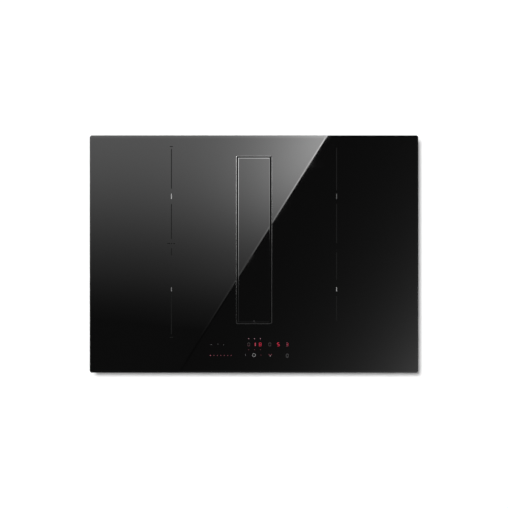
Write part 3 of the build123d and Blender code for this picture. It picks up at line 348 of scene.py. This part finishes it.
# %% The faces of one grid


def faces_of(sheet, start, ends):
    """The faces of a grid of rows by columns by xyz, numbered from start. Each face joins two neighbours
    of one row with two of the next, and capped ends get one face each, which is a whole row."""
    rows, columns = sheet.shape[:2]
    index = start + np.arange(rows * columns).reshape(rows, columns)
    beside = index if ends == "open" else np.hstack([index, index[:, :1]])
    beside = np.vstack([beside, beside[:1]]) if ends == "joined" else beside
    corners = beside[:-1, :-1], beside[:-1, 1:], beside[1:, 1:], beside[1:, :-1]
    quads = np.stack(corners, axis=-1).reshape(-1, 4)
    caps = [index[0][::-1], index[-1]] if ends == "capped" else []
    faces = [[int(i) for i in face] for face in [*quads, *caps]]
    return faces if looks_outwards(sheet, quads - start, ends) else [face[::-1] for face in faces]


def looks_outwards(sheet, quads, ends):
    """Whether the faces look away from the middle of their own row, or up where the sheet is open."""
    place = sheet.reshape(-1, 3)
    a, b, c, d = (place[quads[:, i]] for i in range(4))
    normals = np.cross(b - a, c - a) + np.cross(c - a, d - a)
    middles = np.repeat(sheet.mean(axis=1), sheet.shape[1], axis=0)
    outside = [0, 0, 1] if ends == "open" else a - middles[quads[:, 0]]
    return (normals * outside).sum() > 0


flat_trial = np.array([[(0, 0, 0), (1, 0, 0)], [(0, 1, 0), (1, 1, 0)]], float)
print("one flat face", faces_of(flat_trial, 0, "open"))

# %% A mesh from grids of points


def surface(name, sheets, ends="capped"):
    """A mesh of grids of points. Rows run along the piece and columns round its profile. The ends are
    capped, or joined as a ring's are, or the sheet is open."""
    faces = []
    start = 0
    for sheet in sheets:
        faces += faces_of(sheet, start, ends)
        start += sheet.shape[0] * sheet.shape[1]
    points = np.concatenate([sheet.reshape(-1, 3) for sheet in sheets])
    mesh = bpy.data.meshes.new(name)
    mesh.from_pydata(points.tolist(), [], faces)
    mesh.update()
    piece = bpy.data.objects.new(name, mesh)
    bpy.context.scene.collection.objects.link(piece)
    print(name, "faces", len(faces))
    return piece


def level_sheet(name, half_width, half_depth, z):
    """A flat square-cornered sheet round the origin: x and y run evenly and z stays the same."""
    along_x, along_y = np.linspace(-half_width, half_width, 2), np.linspace(-half_depth, half_depth, 2)
    across, along = np.meshgrid(along_x, along_y)
    return surface(name, [np.stack([across, along, np.full_like(across, z)], axis=-1)], ends="open")


# %% [markdown]
# ## Floor
# The object stands on a plain pale floor. To the eye the floor glows a little, which keeps it white beside
# the object, where part of the sky is hidden, and it still takes the shadow. It is clear from below, like
# a one-way mirror, so that the underside can be looked at too.

# %% Floor
floor_half = 9.0
floor_drop = 0.0005  # just under the object's foot
floor_glow = 0.06
floor = level_sheet("floor", floor_half, floor_half, floor_level - floor_drop)
white_floor = Finish("floor_white", Roughness=1.0, Emission_Strength=1.0, Specular_IOR_Level=0.0)
white_floor.set(Base_Color=grey(0.94), Emission_Color=white_floor.seen_by_eye() * floor_glow)
from_below = white_floor.node("ShaderNodeNewGeometry", output="Backfacing")
clear = white_floor.node("ShaderNodeBsdfTransparent")
solid = Wire(white_floor, white_floor.shader.outputs["BSDF"])
white_floor.show(white_floor.node("ShaderNodeMixShader", sockets={0: from_below, 1: solid, 2: clear}))
floor.data.materials.append(white_floor.material)
print("floor faces up", floor.data.polygons[0].normal.z > 0)

# %% [markdown]
# ## The card over the glass
# Black glass shows almost nothing of its own, only what hangs over it. The photograph's bright field with
# its slanting edge is taken as such a reflection. It could be painted on the glass, but then it would stay
# there from every side. So a card hangs two metres up and glows in that pattern, and only mirror rays see
# it. The pattern's numbers were found by trial against the photograph.
# Seen from the camera, a place on the glass mirrors the card's place `reach` times as far out.

# %% Card
card_height = 2.0
card_half_width, card_half_depth = 0.75, 0.56
reach = 1 + card_height / camera_height
card = level_sheet("card", card_half_width, card_half_depth, glass_high.z + card_height)
card.visible_camera = False
card.visible_diffuse = False
card.visible_shadow = False
card.visible_transmission = False
card.visible_volume_scatter = False

glow = Finish("card_glow")
x, y = (axis / reach for axis in glow.axes()[:2])
slant = 0.629  # metres that the slanting edge runs to the right for each metre to the rear
edge_shift = 0.0022
side = x - slant * y + edge_shift  # how far right of the slanting edge a place lies
is_left = side.ramp(0.0004, -0.0004)
print("card", card_height, "metres up, reach", round(reach, 3))


def line_at(distance, width):
    """1 on a line and 0 well beside it: a bell curve of the distance over the width."""
    return (-1 * (distance / width) ** 2).exp()


# %% [markdown]
# ## Two fields of light
# Left of the slanting edge the field is bright. It fades softly towards the front, swells towards the
# edge, and ends in a thin bright rim. Right of the edge it is almost black,
# with a faint glow that grows towards the front right corner. Soft steps and exponentials give both
# shapes with few numbers, where a picture would need thousands.

# %% The bright field
field_level = 0.096
half_light, fade = 0.112, 0.084  # where the field is half as bright, and how softly it fades forwards
front_fade = 1 - 0.38 * y.ramp(-0.03, -0.16) - 0.35 * y.ramp(-0.14, -0.2)
fall = front_fade / (1 + (-1 * (y - half_light) / fade).exp())
swell = 0.9 + 1.9 * y.ramp(-0.02, 0.26)
swell_width = 0.127  # metres left of the slanting edge over which the swell dies away
near_edge = (-1 * ((-1 * side).at_least(0.0001) / swell_width) ** 1.3).exp()
rear_strip = 1 + 0.28 * y.ramp(0.2546, 0.2558)
bright_rim = 1 + 1.3 * line_at(side + 0.0013, 0.0012)
bright = field_level * fall * (1 + swell * near_edge) * rear_strip * bright_rim
print("bright field", field_level, "half as bright at", half_light)

# %% The dark field
corner_x, corner_y = 0.351, -0.2  # the place where the corner's glow is as strong as its level says
spread_x, spread_y = 0.115, 0.172  # metres over which that glow falls to about a third
dark_level, corner_level, least_level = 0.0022, 0.0254, 0.0029
corner = ((x - corner_x) / spread_x).exp() * ((corner_y - y) / spread_y).exp()
dark = (dark_level + corner_level * corner) * (1 - 0.7 * line_at(side - 0.002, 0.0016))
dark = dark * (1 - 0.8 * y.ramp(0.2560, 0.2575)) * (1 + 0.4 * x.ramp(0.3570, 0.3585))
front_strip = (0.0105 - 0.006 * is_left) * y.ramp(-0.2563, -0.2570)
field = is_left * bright.at_least(least_level) + (1 - is_left) * dark + front_strip
print("nodes in the card's net", len(glow.tree.nodes))

# %% The card's glow
glass_index = 1.52
mirror = ((glass_index - 1) / (glass_index + 1)) ** 2  # share that the glass mirrors straight back
glow.show(glow.node("ShaderNodeEmission", sockets={"Color": field / mirror}))
card.data.materials.append(glow.material)
print("the glass mirrors", round(mirror, 4), "of what is above it")

# %% [markdown]
# ## Black glass
# The top and the flap are black glass ceramic: smooth, with a trace of wiping marks. Their narrow bevels
# are polished facets that throw back more of what hangs above than the flat does, and the rims below them
# are satin. The outermost strip is painted dark, a painted shade. The face's own normal tells flat, facet
# and rim apart, and the place tells the strip, so one finish serves all. The facet's shading normal points
# up, as if it lay flatter than its chamfer does, because only so does it mirror the card as the photograph's
# bevel seems to.
# How bright the facets are on each side is a painted reflection, brighter on those that face left and to the
# rear, and was found by trial too.

# %% Black glass


def black_glass(name, low, high, facet_level, painted_sheen_tilt, painted_shade_strip):
    """Near-black gloss on the flat, a brighter mirror on the facet and satin on the rim. The facet's level
    falls from its left side to its right side by the tilt, and rises a little from front to rear: a painted
    reflection. The strip along its outer edge is painted dark, a painted shade."""
    glass = Finish(name, IOR=glass_index)
    right, rear, up = glass.facing()
    facet = up.ramp(0.98, 0.93) * up.ramp(0.3, 0.4)
    rim = up.ramp(0.4, 0.3)
    # painted reflection: facets that face left and to the rear are made brighter than the others
    level = facet_level - painted_sheen_tilt * right + 0.25 * painted_sheen_tilt * rear
    # painted shade: the outermost strip of the facet is made dark
    level = 0.002 + level * glass.inside(low, high).ramp(painted_shade_strip - 0.0001, painted_shade_strip)
    wipes = glass.noise(7.0, glass.stretched(1.0, 5.0, 1.0, radians(24)), 4.0)
    grain = glass.noise(900.0, detail=1.0)
    flat_colour = glass.mix(grain, grey(0.0006), grey(0.0012))
    straight_up = glass.node("ShaderNodeCombineXYZ", sockets={"Z": 1.0})
    glass.set(
        Base_Color=glass.mix(facet, glass.mix(rim, flat_colour, grey(0.02)), glass.tone(level)),
        Metallic=facet,
        Roughness=0.010 + 0.014 * wipes.ramp(0.35, 0.75) + facet * 0.03 + rim * (0.3 + 0.1 * grain),
        Normal=glass.blend(facet, glass.bump(rim * grain, 0.00002), straight_up),
    )
    return glass


dress(black_glass("glass_top_black", glass_low, glass_high, 0.055, 0.03, 0.0004), "glass_top")
dress(black_glass("flap_glass_black", flap_low, flap_high, 0.175, 0.132, 0.0005), "flap_glass")

# %% [markdown]
# ## Metals
# Brushed and milled metal has fine lines along one axis. An image could give them, but a noise that is
# stretched along the grain is sharp at any distance and has no seams. It goes into the colour, the
# roughness and a faint relief. The tray and the filter's frame and handle are stainless. The filter's mesh,
# the carriers and the heatsinks are aluminium, and the springs and clips are spring steel.

# %% Brushed and plain metals


def brushed(name, level, roughness, grain, warm=0.0):
    """Metal with fine lines along the axis whose scale is the lowest of the three."""
    metal = Finish(name, Metallic=1.0)
    metal.lines = metal.noise(60.0, metal.stretched(*grain), 3.0)
    cloud = metal.noise(14.0)
    metal.set(
        Base_Color=metal.mix(metal.lines, grey(level * 0.86, warm), grey(level * 1.1, warm)),
        Roughness=roughness + 0.12 * (metal.lines - 0.5) + 0.08 * (cloud - 0.5),
        Normal=metal.bump(metal.lines, 0.00001),
    )
    return metal


dress(brushed("stainless_lengthwise", 0.52, 0.28, (14, 0.4, 14), 0.01), "filter_frame", "drip_tray")
dress(brushed("stainless_handle", 0.52, 0.24, (0.5, 14, 14), 0.01), "filter_handle", "motor_rotor")
dress(brushed("aluminium_mill", 0.5, 0.4, (6, 1, 6)), "filter_mesh", "flap_carrier")
for hand in ("left", "right"):
    dress(brushed(f"aluminium_{hand}", 0.68, 0.45, (1, 6, 6)), f"coil_carrier_{hand}", f"heatsink_{hand}")
dress(brushed("pin_burnished", 0.03, 0.4, (8, 1, 8)), "flap_pins")
dress(brushed("spring_blue", 0.22, 0.35, (8, 8, 1), -0.08), "side_clips", "coil_springs", "touch_springs")

# %% [markdown]
# ## Trim round the slot
# The trim is anodised aluminium, a wall only 1.5 mm thick with broken edges. In the photograph its left
# side shows one clear line and its other sides a fainter one. To match that, only half of its narrow top
# gets a
# painted highlight: the inner half on the left and the outer half elsewhere. The other half is painted dark,
# a painted shade, the left side's top is painted brighter and its broken edges darker than the other sides'.
# The real trim need not be so.

# %% Slot trim
trim = brushed("trim_anodised", 0.3, 0.1, (12, 0.5, 12))
broken_edge = trim.facing()[2].ramp(0.96, 0.8)
left_side = trim.axes()[0].ramp(-0.037, -0.038)
outer_half = trim.inside(*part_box("slot_trim")).ramp(0.00680, 0.00675)
# painted highlight on one half of the narrow top, and painted shade on the other half
painted_highlight_strip = (outer_half - left_side).size()
# painted light: the left side's top is made brighter than the other sides'
painted_sheen_top = (0.28 + 0.46 * left_side) * (0.9 + 0.2 * trim.lines) * (0.08 + 0.92 * painted_highlight_strip)
# painted reflection: the broken edges are made darker on the left than elsewhere
painted_edge_sheen = 0.07 - 0.06 * left_side
trim.set(Base_Color=trim.tone(broken_edge * painted_edge_sheen + (1 - broken_edge) * painted_sheen_top))
dress(trim, "slot_trim")

# %% [markdown]
# ## Galvanised sheet and zinc screws
# Hot-dipped sheet shows zinc crystals, the spangle, each a little lighter or darker than the next. A cell
# pattern with one random shade a cell is just that. Plated screws get the same finish, only lighter, and
# bare bright metal shows on the edges of both.

# %% Galvanised sheet and zinc screws


def galvanised(name, level):
    """Zinc crystals as random cells, each a little lighter or darker, with worn bright edges."""
    zinc = Finish(name, Metallic=1.0)
    crystal = zinc.cells(130.0, "Color")
    shade = zinc.node("ShaderNodeSeparateColor", sockets={"Color": crystal})
    cloud = zinc.noise(9.0, detail=3.0)
    worn = zinc.worn_edge(0.0012)
    base = zinc.mix(shade * 0.6 + cloud * 0.4, grey(level * 0.86, -0.01), grey(level * 1.08, -0.01))
    zinc.set(
        Base_Color=zinc.mix(worn * 0.6, base, grey(level * 1.35)),
        Roughness=0.46 - 0.08 * shade + 0.1 * (cloud - 0.5) - 0.1 * worn,
        Normal=zinc.bump(shade, 0.000015),
    )
    return zinc


dress(galvanised("galvanised_sheet", 0.42), "casing_pan", "mounting_frame")
dress(galvanised("zinc_plating", 0.62), "casing_screws", "plenum_screws", "blower_screws")

# %% [markdown]
# ## Plastics
# Moulded housings have a fine spark-eroded grain, a faint flow pattern and edges rubbed smoother and
# lighter. Two noises of very different size give the first two, and the edge mask gives the third. The
# flap's cradle is coated metal, but its grain is much alike, so the same function serves. It is dead matt,
# and its black is made far darker than a real coat, partly a painted shade, because in the photograph the
# gap over it is black.

# %% Moulded plastic


def moulded(name, level, roughness, warm=0.0, rubbed=0.03):
    """Grained plastic: two noises make the grain and the flow, and edges are rubbed lighter."""
    plastic = Finish(name)
    grain = plastic.noise(1300.0, detail=2.0)
    flow = plastic.noise(11.0, plastic.stretched(1, 1, 3), 4.0)
    worn = plastic.worn_edge(0.0010)
    base = plastic.mix(flow, grey(level * 0.85, warm), grey(level * 1.2, warm))
    plastic.set(
        Base_Color=plastic.mix(worn * 0.5, base, grey(level * 1.6 + rubbed, warm)),
        Roughness=roughness + 0.12 * (flow - 0.5) - 0.12 * worn,
        Normal=plastic.bump(grain, 0.00004),
    )
    return plastic


duct_nodes = ("intake_duct", "plenum_cover", "plenum_tub", "impeller")
terminal_nodes = ("terminal_box", "terminal_box_cover", "cable_gland")
fan_nodes = [f"fan_{part}_{hand}" for part in ("housing", "rotor") for hand in ("left", "right")]
dress(moulded("plastic_black", 0.028, 0.5), *duct_nodes, *terminal_nodes)
dress(moulded("plastic_fans", 0.022, 0.42), *fan_nodes)
dress(moulded("plastic_grey", 0.26, 0.46, -0.02), "scroll_lower", "scroll_upper", "outlet_adapter")
dress(moulded("plastic_white", 0.7, 0.4, 0.03), "touch_board_tray", "terminal_block", "coil_sensors")
# the cradle's near-black is partly its black coat and partly painted shade for the gap above it
cradle_coat_and_shade = moulded("cradle_coat_and_shade", 0.006, 0.8, rubbed=0.004)
cradle_coat_and_shade.set(Specular_IOR_Level=0.08)
dress(cradle_coat_and_shade, "flap_cradle")

# %% [markdown]
# ## Foam
# The gasket under the rim and the duct seals are closed-cell foam: matt and black, with open pores where
# it was cut. Small cells pressed into the face give pores of an even size, which a noise wouldn't.

# %% Foam


def foam(name):
    """Closed-cell foam: pores as small cells pressed into a rough dark face."""
    rubber = Finish(name)
    pores = rubber.cells(700.0)
    cloud = rubber.noise(40.0)
    rubber.set(
        Base_Color=rubber.mix(pores, grey(0.012), grey(0.04)),
        Roughness=0.86 + 0.12 * (cloud - 0.5),
        Normal=rubber.bump(pores, 0.0002),
    )
    return rubber


dress(foam("foam_black"), "worktop_gasket", "duct_seals")

# %% [markdown]
# ## Coil windings
# A coil is enamelled litz wire laid turn by turn into a flat block with round corners. The solid is one
# ring, so its turns come from the finish: a wave of the distance from a rounded block inside it, which
# keeps the turns an even step apart round the corners too.

# %% Coil windings
winding_corner = 0.062  # metres, the radius of the block's outer corners
turn_step = 0.0032  # metres from one turn to the next


def winding(name, low, high):
    """Enamelled wire: rings at an even step out from the middle of a rounded block."""
    copper = Finish(name, Metallic=1.0)
    x, y = copper.axes()[:2]
    middle_x, middle_y = (low.x + high.x) / 2, (low.y + high.y) / 2
    out_x = ((x - middle_x).size() - ((high.x - low.x) / 2 - winding_corner)).at_least(0.0)
    out_y = ((y - middle_y).size() - ((high.y - low.y) / 2 - winding_corner)).at_least(0.0)
    distance = (out_x * out_x + out_y * out_y) ** 0.5
    turns = (distance * (2 * pi / turn_step)).wave() * 0.5 + 0.5
    strands = copper.noise(900.0, detail=1.0)
    copper.set(
        Base_Color=copper.mix(turns * 0.7 + strands * 0.3, (0.3, 0.1, 0.035, 1), (0.85, 0.4, 0.19, 1)),
        Roughness=0.34 + 0.2 * strands,
        Normal=copper.bump(turns, 0.0006),
    )
    return copper


for place in ("front_left", "front_right", "rear_left", "rear_right"):
    low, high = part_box(f"coil_winding_{place}")
    dress(winding(f"copper_{place}", low, high), f"coil_winding_{place}")
    dress(moulded(f"former_{place}", 0.62, 0.5, 0.05), f"coil_former_{place}")

# %% [markdown]
# ## Ferrite, mica and motor paint
# Most of these only show in a cut, but each still gets the finish that it has. Sintered ferrite, mica
# sheet, motor paint and a display's front all come down to speckles of two colours in a matt body, so one
# function makes them, with the size and depth of its speckles changed.

# %% Ferrite, mica and motor paint


def speckled(name, dark_colour, light_colour, scale, roughness, relief, metallic=0.0):
    """A matt body with speckles: one noise picks between two colours and lifts the surface."""
    body = Finish(name, Metallic=metallic)
    speckle = body.noise(scale, detail=4.0)
    cloud = body.noise(22.0)
    body.set(
        Base_Color=body.mix(speckle.ramp(0.35, 0.7), dark_colour, light_colour),
        Roughness=roughness + 0.14 * (cloud - 0.5),
        Normal=body.bump(speckle, relief),
    )
    return body


mica_dark, mica_light = (0.5, 0.45, 0.36, 1), (0.78, 0.73, 0.62, 1)
stator_dark, stator_light = (0.4, 0.14, 0.05, 1), (0.8, 0.36, 0.16, 1)
dress(speckled("ferrite_sintered", grey(0.03), grey(0.09), 1500, 0.6, 0.00003), "ferrite_bars")
mica = speckled("mica_sheet", mica_dark, mica_light, 160, 0.55, 0.00005)
dress(mica, "insulation_sheet_left", "insulation_sheet_right")
dress(speckled("motor_paint", grey(0.02), grey(0.05), 700, 0.38, 0.00005), "motor_housing")
dress(speckled("stator_copper", stator_dark, stator_light, 500, 0.4, 0.0003, 1.0), "motor_stator")
dress(speckled("display_front", grey(0.01), grey(0.02), 400, 0.15, 0.00001), "display_modules")

# %% [markdown]
# ## Boards
# A circuit board is green lacquer over copper tracks, and in the model its parts are in one node with it.
# A brick pattern's joints make the tracks, and everything above the board's own face is given a dark
# sleeve instead, so that one finish dresses the board and what is soldered to it.

# %% Boards
board_rise = 0.0017  # metres from a board's foot to just above its upper face


def board(name, top):
    """Green lacquer with tracks on the board's own level, and dark sleeves on what stands on it."""
    lacquer = Finish(name)
    tracks = lacquer.node(
        "ShaderNodeTexBrick",
        {"offset": 0.5, "squash": 0.6, "squash_frequency": 3},
        {"Vector": lacquer.place(), "Scale": 55.0, "Mortar Size": 0.06, "Brick Width": 0.9},
        "Fac",
    )
    mottled = lacquer.noise(120.0)
    green = lacquer.mix(tracks, (0.012, 0.12, 0.045, 1), (0.05, 0.26, 0.1, 1))
    sleeve = lacquer.mix(mottled, grey(0.02), (0.03, 0.035, 0.06, 1))
    stands_up = lacquer.axes()[2].above(top)
    lacquer.set(
        Base_Color=lacquer.mix(stands_up, green, sleeve),
        Roughness=0.34 + 0.2 * mottled,
        Normal=lacquer.bump(tracks * (1 - stands_up), 0.00004),
    )
    return lacquer


for board_node in ("power_board_left", "power_board_right", "mains_filter_board"):
    board_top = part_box(board_node)[0].z + board_rise
    dress(board(f"{board_node}_green", board_top), board_node)
dress(board("touch_board_green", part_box("touch_board")[1].z + 0.0001), "touch_board")

# %% [markdown]
# ## Printed marks
# The marks are fired into the glass and stand a few hundredths of a millimetre proud. They could be part
# of the glass's finish, but as pieces they have a real edge and can glow. Each stroke is a low bar: an
# ellipse carried along a straight path, shrinking at both ends so that they are round.

# %% A stroke on the glass
glass_face = glass_high.z
print_rise = 0.00005
round_way = np.linspace(0, 2 * pi, 10, endpoint=False)  # the angles round a stroke's profile


def stroke(start, end, width):
    """A straight bar: an ellipse of half the width by the print's rise, carried from start to end. The
    profile shrinks over half the width at each end, as the root of a circle does, so the ends are round."""
    start, end = np.array(start, float), np.array(end, float)
    length = np.linalg.norm(end - start)
    along = (end - start) / length
    across = np.array([-along[1], along[0]])
    round_off = np.array([0.02, 0.3, 1.0])
    travel = np.concatenate([round_off * width / 2, length - round_off[::-1] * width / 2])
    size = np.sqrt(1.001 - (1 - np.concatenate([round_off, round_off[::-1]])) ** 2)[:, None]
    sideways = (size * np.cos(round_way))[:, :, None] * across * width / 2
    flat = start + travel[:, None, None] * along + sideways
    height = glass_face + print_rise * size * np.sin(round_way)
    return np.concatenate([flat, height[:, :, None]], axis=2)


def upright(x, y0, y1, width):
    """A stroke from front to rear."""
    return stroke((x, y0), (x, y1), width)


def level_line(x0, x1, y, width):
    """A stroke from left to right."""
    return stroke((x0, y), (x1, y), width)


print("one stroke's grid", upright(0, 0, 0.01, 0.001).shape)

# %% Ink, and a piece made of strokes
marks = []


def ink(name, level, roughness):
    """Fired print: a flat body colour that the screen's mesh leaves slightly uneven."""
    fired = Finish(name, Specular_IOR_Level=0.02)
    uneven = fired.noise(2500.0, detail=1.0)
    fired.set(
        Base_Color=fired.mix(uneven, grey(level * 0.8), grey(level * 1.2)),
        Roughness=roughness + 0.1 * (uneven - 0.5),
        Normal=fired.bump(uneven, 0.00001),
    )
    return fired


def marked(name, strokes, finish, body="hob", ends="capped"):
    """Makes one piece of its strokes, gives it a finish and lets it ride on a body."""
    piece = surface(name, strokes, ends)
    piece.data.materials.append(finish.material)
    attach(piece, body)
    marks.append(name)


print("print stands", print_rise * 1000, "mm proud")

# %% [markdown]
# ## Zone lines and ticks
# A broken line runs from front to rear on each side of the slot, with a light tick in its rear half and
# one in its front half. The left line has a cap at each end and a row of dashes across it. The runs are
# lists of places, because no rule gives them.

# %% Zone lines
zone_x = 0.181
line_width = 0.00175
cap_width = 0.007
line_runs = {
    -1: [(0.143, 0.231), (0.033, 0.110), (-0.003, 0.013), (-0.176, -0.088)],
    1: [(0.139, 0.233), (0.024, 0.110), (-0.057, 0.004), (-0.146, -0.092)],
}
cap_places = {-1: [0.2355, -0.1825], 1: []}
zone_strokes = []
for sign, runs in line_runs.items():
    line_x = sign * zone_x
    cap_ends = line_x - cap_width / 2, line_x + cap_width / 2
    zone_strokes += [upright(line_x, low, high, line_width) for low, high in runs]
    zone_strokes += [level_line(*cap_ends, cap_y, line_width) for cap_y in cap_places[sign]]
zone_strokes.append(level_line(zone_x - 0.0008, zone_x + 0.0008, 0.0090, 0.0018))
marked("zone_lines", zone_strokes, ink("print_grey", 0.011, 0.9))

# %% Ticks, dashes and the grip mark
tick_width = 0.0016
tick_runs = {"rear": (0.1205, 0.1325), "front": (-0.0820, -0.0725)}
tick_places = [  # row, side, sign of x, and how light the print is
    ("rear", "left", -1, 0.44),
    ("front", "left", -1, 0.17),
    ("rear", "right", 1, 0.1),
    ("front", "right", 1, 0.28),
]
for row, hand, sign, lightness in tick_places:
    tick = [upright(sign * zone_x, *tick_runs[row], tick_width)]
    tick_ink = ink(f"tick_{row}_{hand}_print", lightness, 0.6)
    marked(f"tick_{row}_{hand}", tick, tick_ink)

dash_y = 0.0230
dash_runs = [  # left end, right end and width
    (-0.1904, -0.1860, 0.0010),
    (-0.1862, -0.1843, 0.0024),
    (-0.1820, -0.1799, 0.0024),
    (-0.1775, -0.1755, 0.0012),
    (-0.1754, -0.1733, 0.0024),
]
dashes = [level_line(start, end, dash_y, width) for start, end, width in dash_runs]
marked("zone_dashes", dashes, ink("print_dark", 0.002, 0.9))

grip_mark = [upright(0, flap_low.y + 0.0014, flap_low.y + 0.0036, 0.0014)]
marked("flap_grip_mark", grip_mark, ink("print_grip", 0.07, 0.6), "flap")

# %% [markdown]
# ## Lights behind the glass
# The touch field's digits are seven-segment lamps. Each lit segment is a short stroke, and a digit is the
# list of the segments that it lights. Real lamps sit under the glass. Here the glass would have to be
# clear over them, so each stroke glows by itself instead.

# %% Seven segments
digit_width, digit_height = 0.0044, 0.0068
segment_ends = {
    "a": ((-1, 1), (1, 1)),
    "b": ((1, 1), (1, 0)),
    "c": ((1, 0), (1, -1)),
    "d": ((-1, -1), (1, -1)),
    "e": ((-1, 0), (-1, -1)),
    "f": ((-1, 1), (-1, 0)),
    "g": ((-1, 0), (1, 0)),
}
segments_of = {"0": "abcdef", "3": "abcdg", "5": "acdfg", "8": "abcdefg"}
segment_gap = 0.08  # share of a segment left free at each of its ends


def digit(symbol, x, y, width):
    """The strokes of one digit: each segment joins two of the six corners of the figure eight."""
    half = np.array([digit_width / 2, digit_height / 2])
    shapes = []
    for letter in segments_of[symbol]:
        start, end = (np.array(end) * half + (x, y) for end in segment_ends[letter])
        gap = (end - start) * segment_gap
        shapes.append(stroke(start + gap, end - gap, width))
    return shapes


print("segments of an eight", len(digit("8", 0, 0, 0.0007)))

# %% Rings and dots


def ring(x, y, radius, width):
    """A closed ring: the same ellipse as a stroke's, carried once round a circle."""
    round_circle, turn = np.meshgrid(np.linspace(0, 2 * pi, 32, endpoint=False), round_way, indexing="ij")
    out = radius + width / 2 * np.cos(turn)
    height = glass_face + print_rise * np.sin(turn)
    return np.stack([x + out * np.cos(round_circle), y + out * np.sin(round_circle), height], axis=2)


def round_dot(x, y, radius):
    """A lens: circles that widen from its foot to its middle and narrow again to its top."""
    turn = np.linspace(0, 2 * pi, 12, endpoint=False)
    rise = np.linspace(-1, 1, 6)[:, None]
    spread = radius * np.sqrt(1.02 - rise ** 2)
    height = rise * print_rise + glass_face + 0 * turn
    return np.stack([spread * np.cos(turn) + x, spread * np.sin(turn) + y, height], axis=2)


print("grids", ring(0, 0, 0.003, 0.001).shape, round_dot(0, 0, 0.001).shape)

# %% Lamps


def lamp_light(name, colour, strength):
    """A lit lamp seen through the glass: a glowing body with slightly uneven brightness."""
    lit = Finish(name, Base_Color=grey(0.01), Emission_Strength=1.0, Specular_IOR_Level=0.1)
    uneven = lit.noise(700.0, detail=1.0)
    bright_colour = tuple(channel * strength for channel in colour) + (1.0,)
    dim_colour = tuple(channel * strength * 0.7 for channel in colour) + (1.0,)
    lit.set(Emission_Color=lit.mix(uneven, dim_colour, bright_colour), Roughness=0.3 + 0.1 * uneven)
    return lit


red_lamp = lamp_light("lamp_red", (1.0, 0.015, 0.07), 0.66)
keen_lamp = lamp_light("lamp_keen", (1.0, 0.03, 0.09), 0.95)
rose_lamp = lamp_light("lamp_rose", (1.0, 0.22, 0.34), 0.34)
pale_lamp = lamp_light("lamp_pale", (1.0, 0.5, 0.62), 0.34)
dim_lamp = lamp_light("lamp_dim", (0.2, 0.07, 0.09), 0.5)
ember_lamp = lamp_light("lamp_ember", (1.0, 0.18, 0.28), 0.17)
grey_lamp = lamp_light("lamp_grey", (0.14, 0.11, 0.11), 0.5)
print("lamps", sum(1 for material in bpy.data.materials if material.name.startswith("lamp_")))

# %% [markdown]
# ## The touch field
# From left to right stand three digits with a dot behind and in front of each, a dim digit and two more.
# In front of them lie a slider of dots and the signs of the keys. A digit whose segments differ in
# brightness is made in two pieces, one for each lamp.

# %% Digits
digit_y = -0.1980
zero_strokes = digit("0", -0.0115, digit_y, 0.0008)
zero_top = [zero_strokes[0], zero_strokes[1], zero_strokes[5]]
one_foot, one_head, edge_head = digit_y - 0.0036, digit_y + 0.0038, digit_y + 0.0034
three_strokes = digit("3", 0.0724, digit_y, 0.0009)
marked("digit_zero_top", zero_top, grey_lamp)
marked("digit_zero_foot", zero_strokes[2:5], dim_lamp)
marked("digit_one", [upright(0.0034, one_foot, one_head, 0.0011)], rose_lamp)
marked("digit_one_edge", [upright(0.0021, one_foot, edge_head, 0.0011)], red_lamp)
marked("digit_eight", digit("8", 0.0136, digit_y, 0.0007), keen_lamp)
marked("digit_timer", digit("0", 0.0346, digit_y, 0.0008), grey_lamp)
marked("digit_five", digit("5", 0.0533, digit_y, 0.0009), keen_lamp)
marked("digit_three", [three_strokes[0], *three_strokes[3:]], rose_lamp)
marked("digit_three_side", three_strokes[1:3], red_lamp)

# %% Dots and slider
dot_places = (-0.0118, 0.0010, 0.0141)
rear_dots_y, front_dots_y = -0.1855, -0.2096
rear_dots = [round_dot(x, rear_dots_y, 0.0011) for x in dot_places]
front_dots = [level_line(x - 0.001, x + 0.001, front_dots_y, 0.0009) for x in dot_places]
slider_x, slider_y, slider_step = -0.0952, -0.2222, 0.0075
slider = [round_dot(slider_x + slider_step * i, slider_y, 0.0010) for i in range(1, 7)]
slider.append(round_dot(0.0154, -0.2215, 0.0007))
marked("level_dots_rear", rear_dots, pale_lamp)
marked("level_dots_front", front_dots, ember_lamp)
marked("slider_dots", slider, ember_lamp)
marked("slider_dot_on", [round_dot(-0.0955, slider_y, 0.0012)], rose_lamp)

# %% Keys
ring_x, ring_y, ring_radius = -0.0001, -0.2214, 0.0034
ring_shape = [ring(ring_x, ring_y, ring_radius, 0.0010)]
marked("key_ring", ring_shape, ink("print_ring", 0.2, 0.6), ends="joined")

chevron_x = 0.0356
chevron_rear, chevron_front = -0.2194, -0.2228
arm_out, arm_in = 0.0034, 0.0006  # how far from the middle each arm starts and ends
chevron = [
    stroke((chevron_x + sign * arm_out, chevron_rear), (chevron_x + sign * arm_in, chevron_front), 0.0012)
    for sign in (-1, 1)
]
marked("key_chevron", chevron, ember_lamp)
chevron_tip = [upright(chevron_x, -0.2246, -0.2226, 0.0013)]
marked("key_chevron_tip", chevron_tip, ink("print_tip", 0.3, 0.6))

soft_ink = ink("print_soft", 0.1, 0.6)
frame_line = 0.0007
left, right, low, high = 0.0706, 0.0748, -0.2260, -0.2190
key_frame = [upright(x, low, high, frame_line) for x in (left, right)]
key_frame += [level_line(left, right, y, frame_line) for y in (low, high)]
marked("key_frame", key_frame, soft_ink)

key_dashes = [
    level_line(-0.0950, -0.0918, -0.1984, 0.0009),
    upright(-0.0666, -0.2000, -0.1980, 0.0009),
    upright(-0.0186, -0.2232, -0.2192, 0.0009),
    upright(-0.0792, -0.1990, -0.1960, 0.0005),
]
marked("key_dashes", key_dashes, soft_ink)
print("marks on the glass", len(marks))
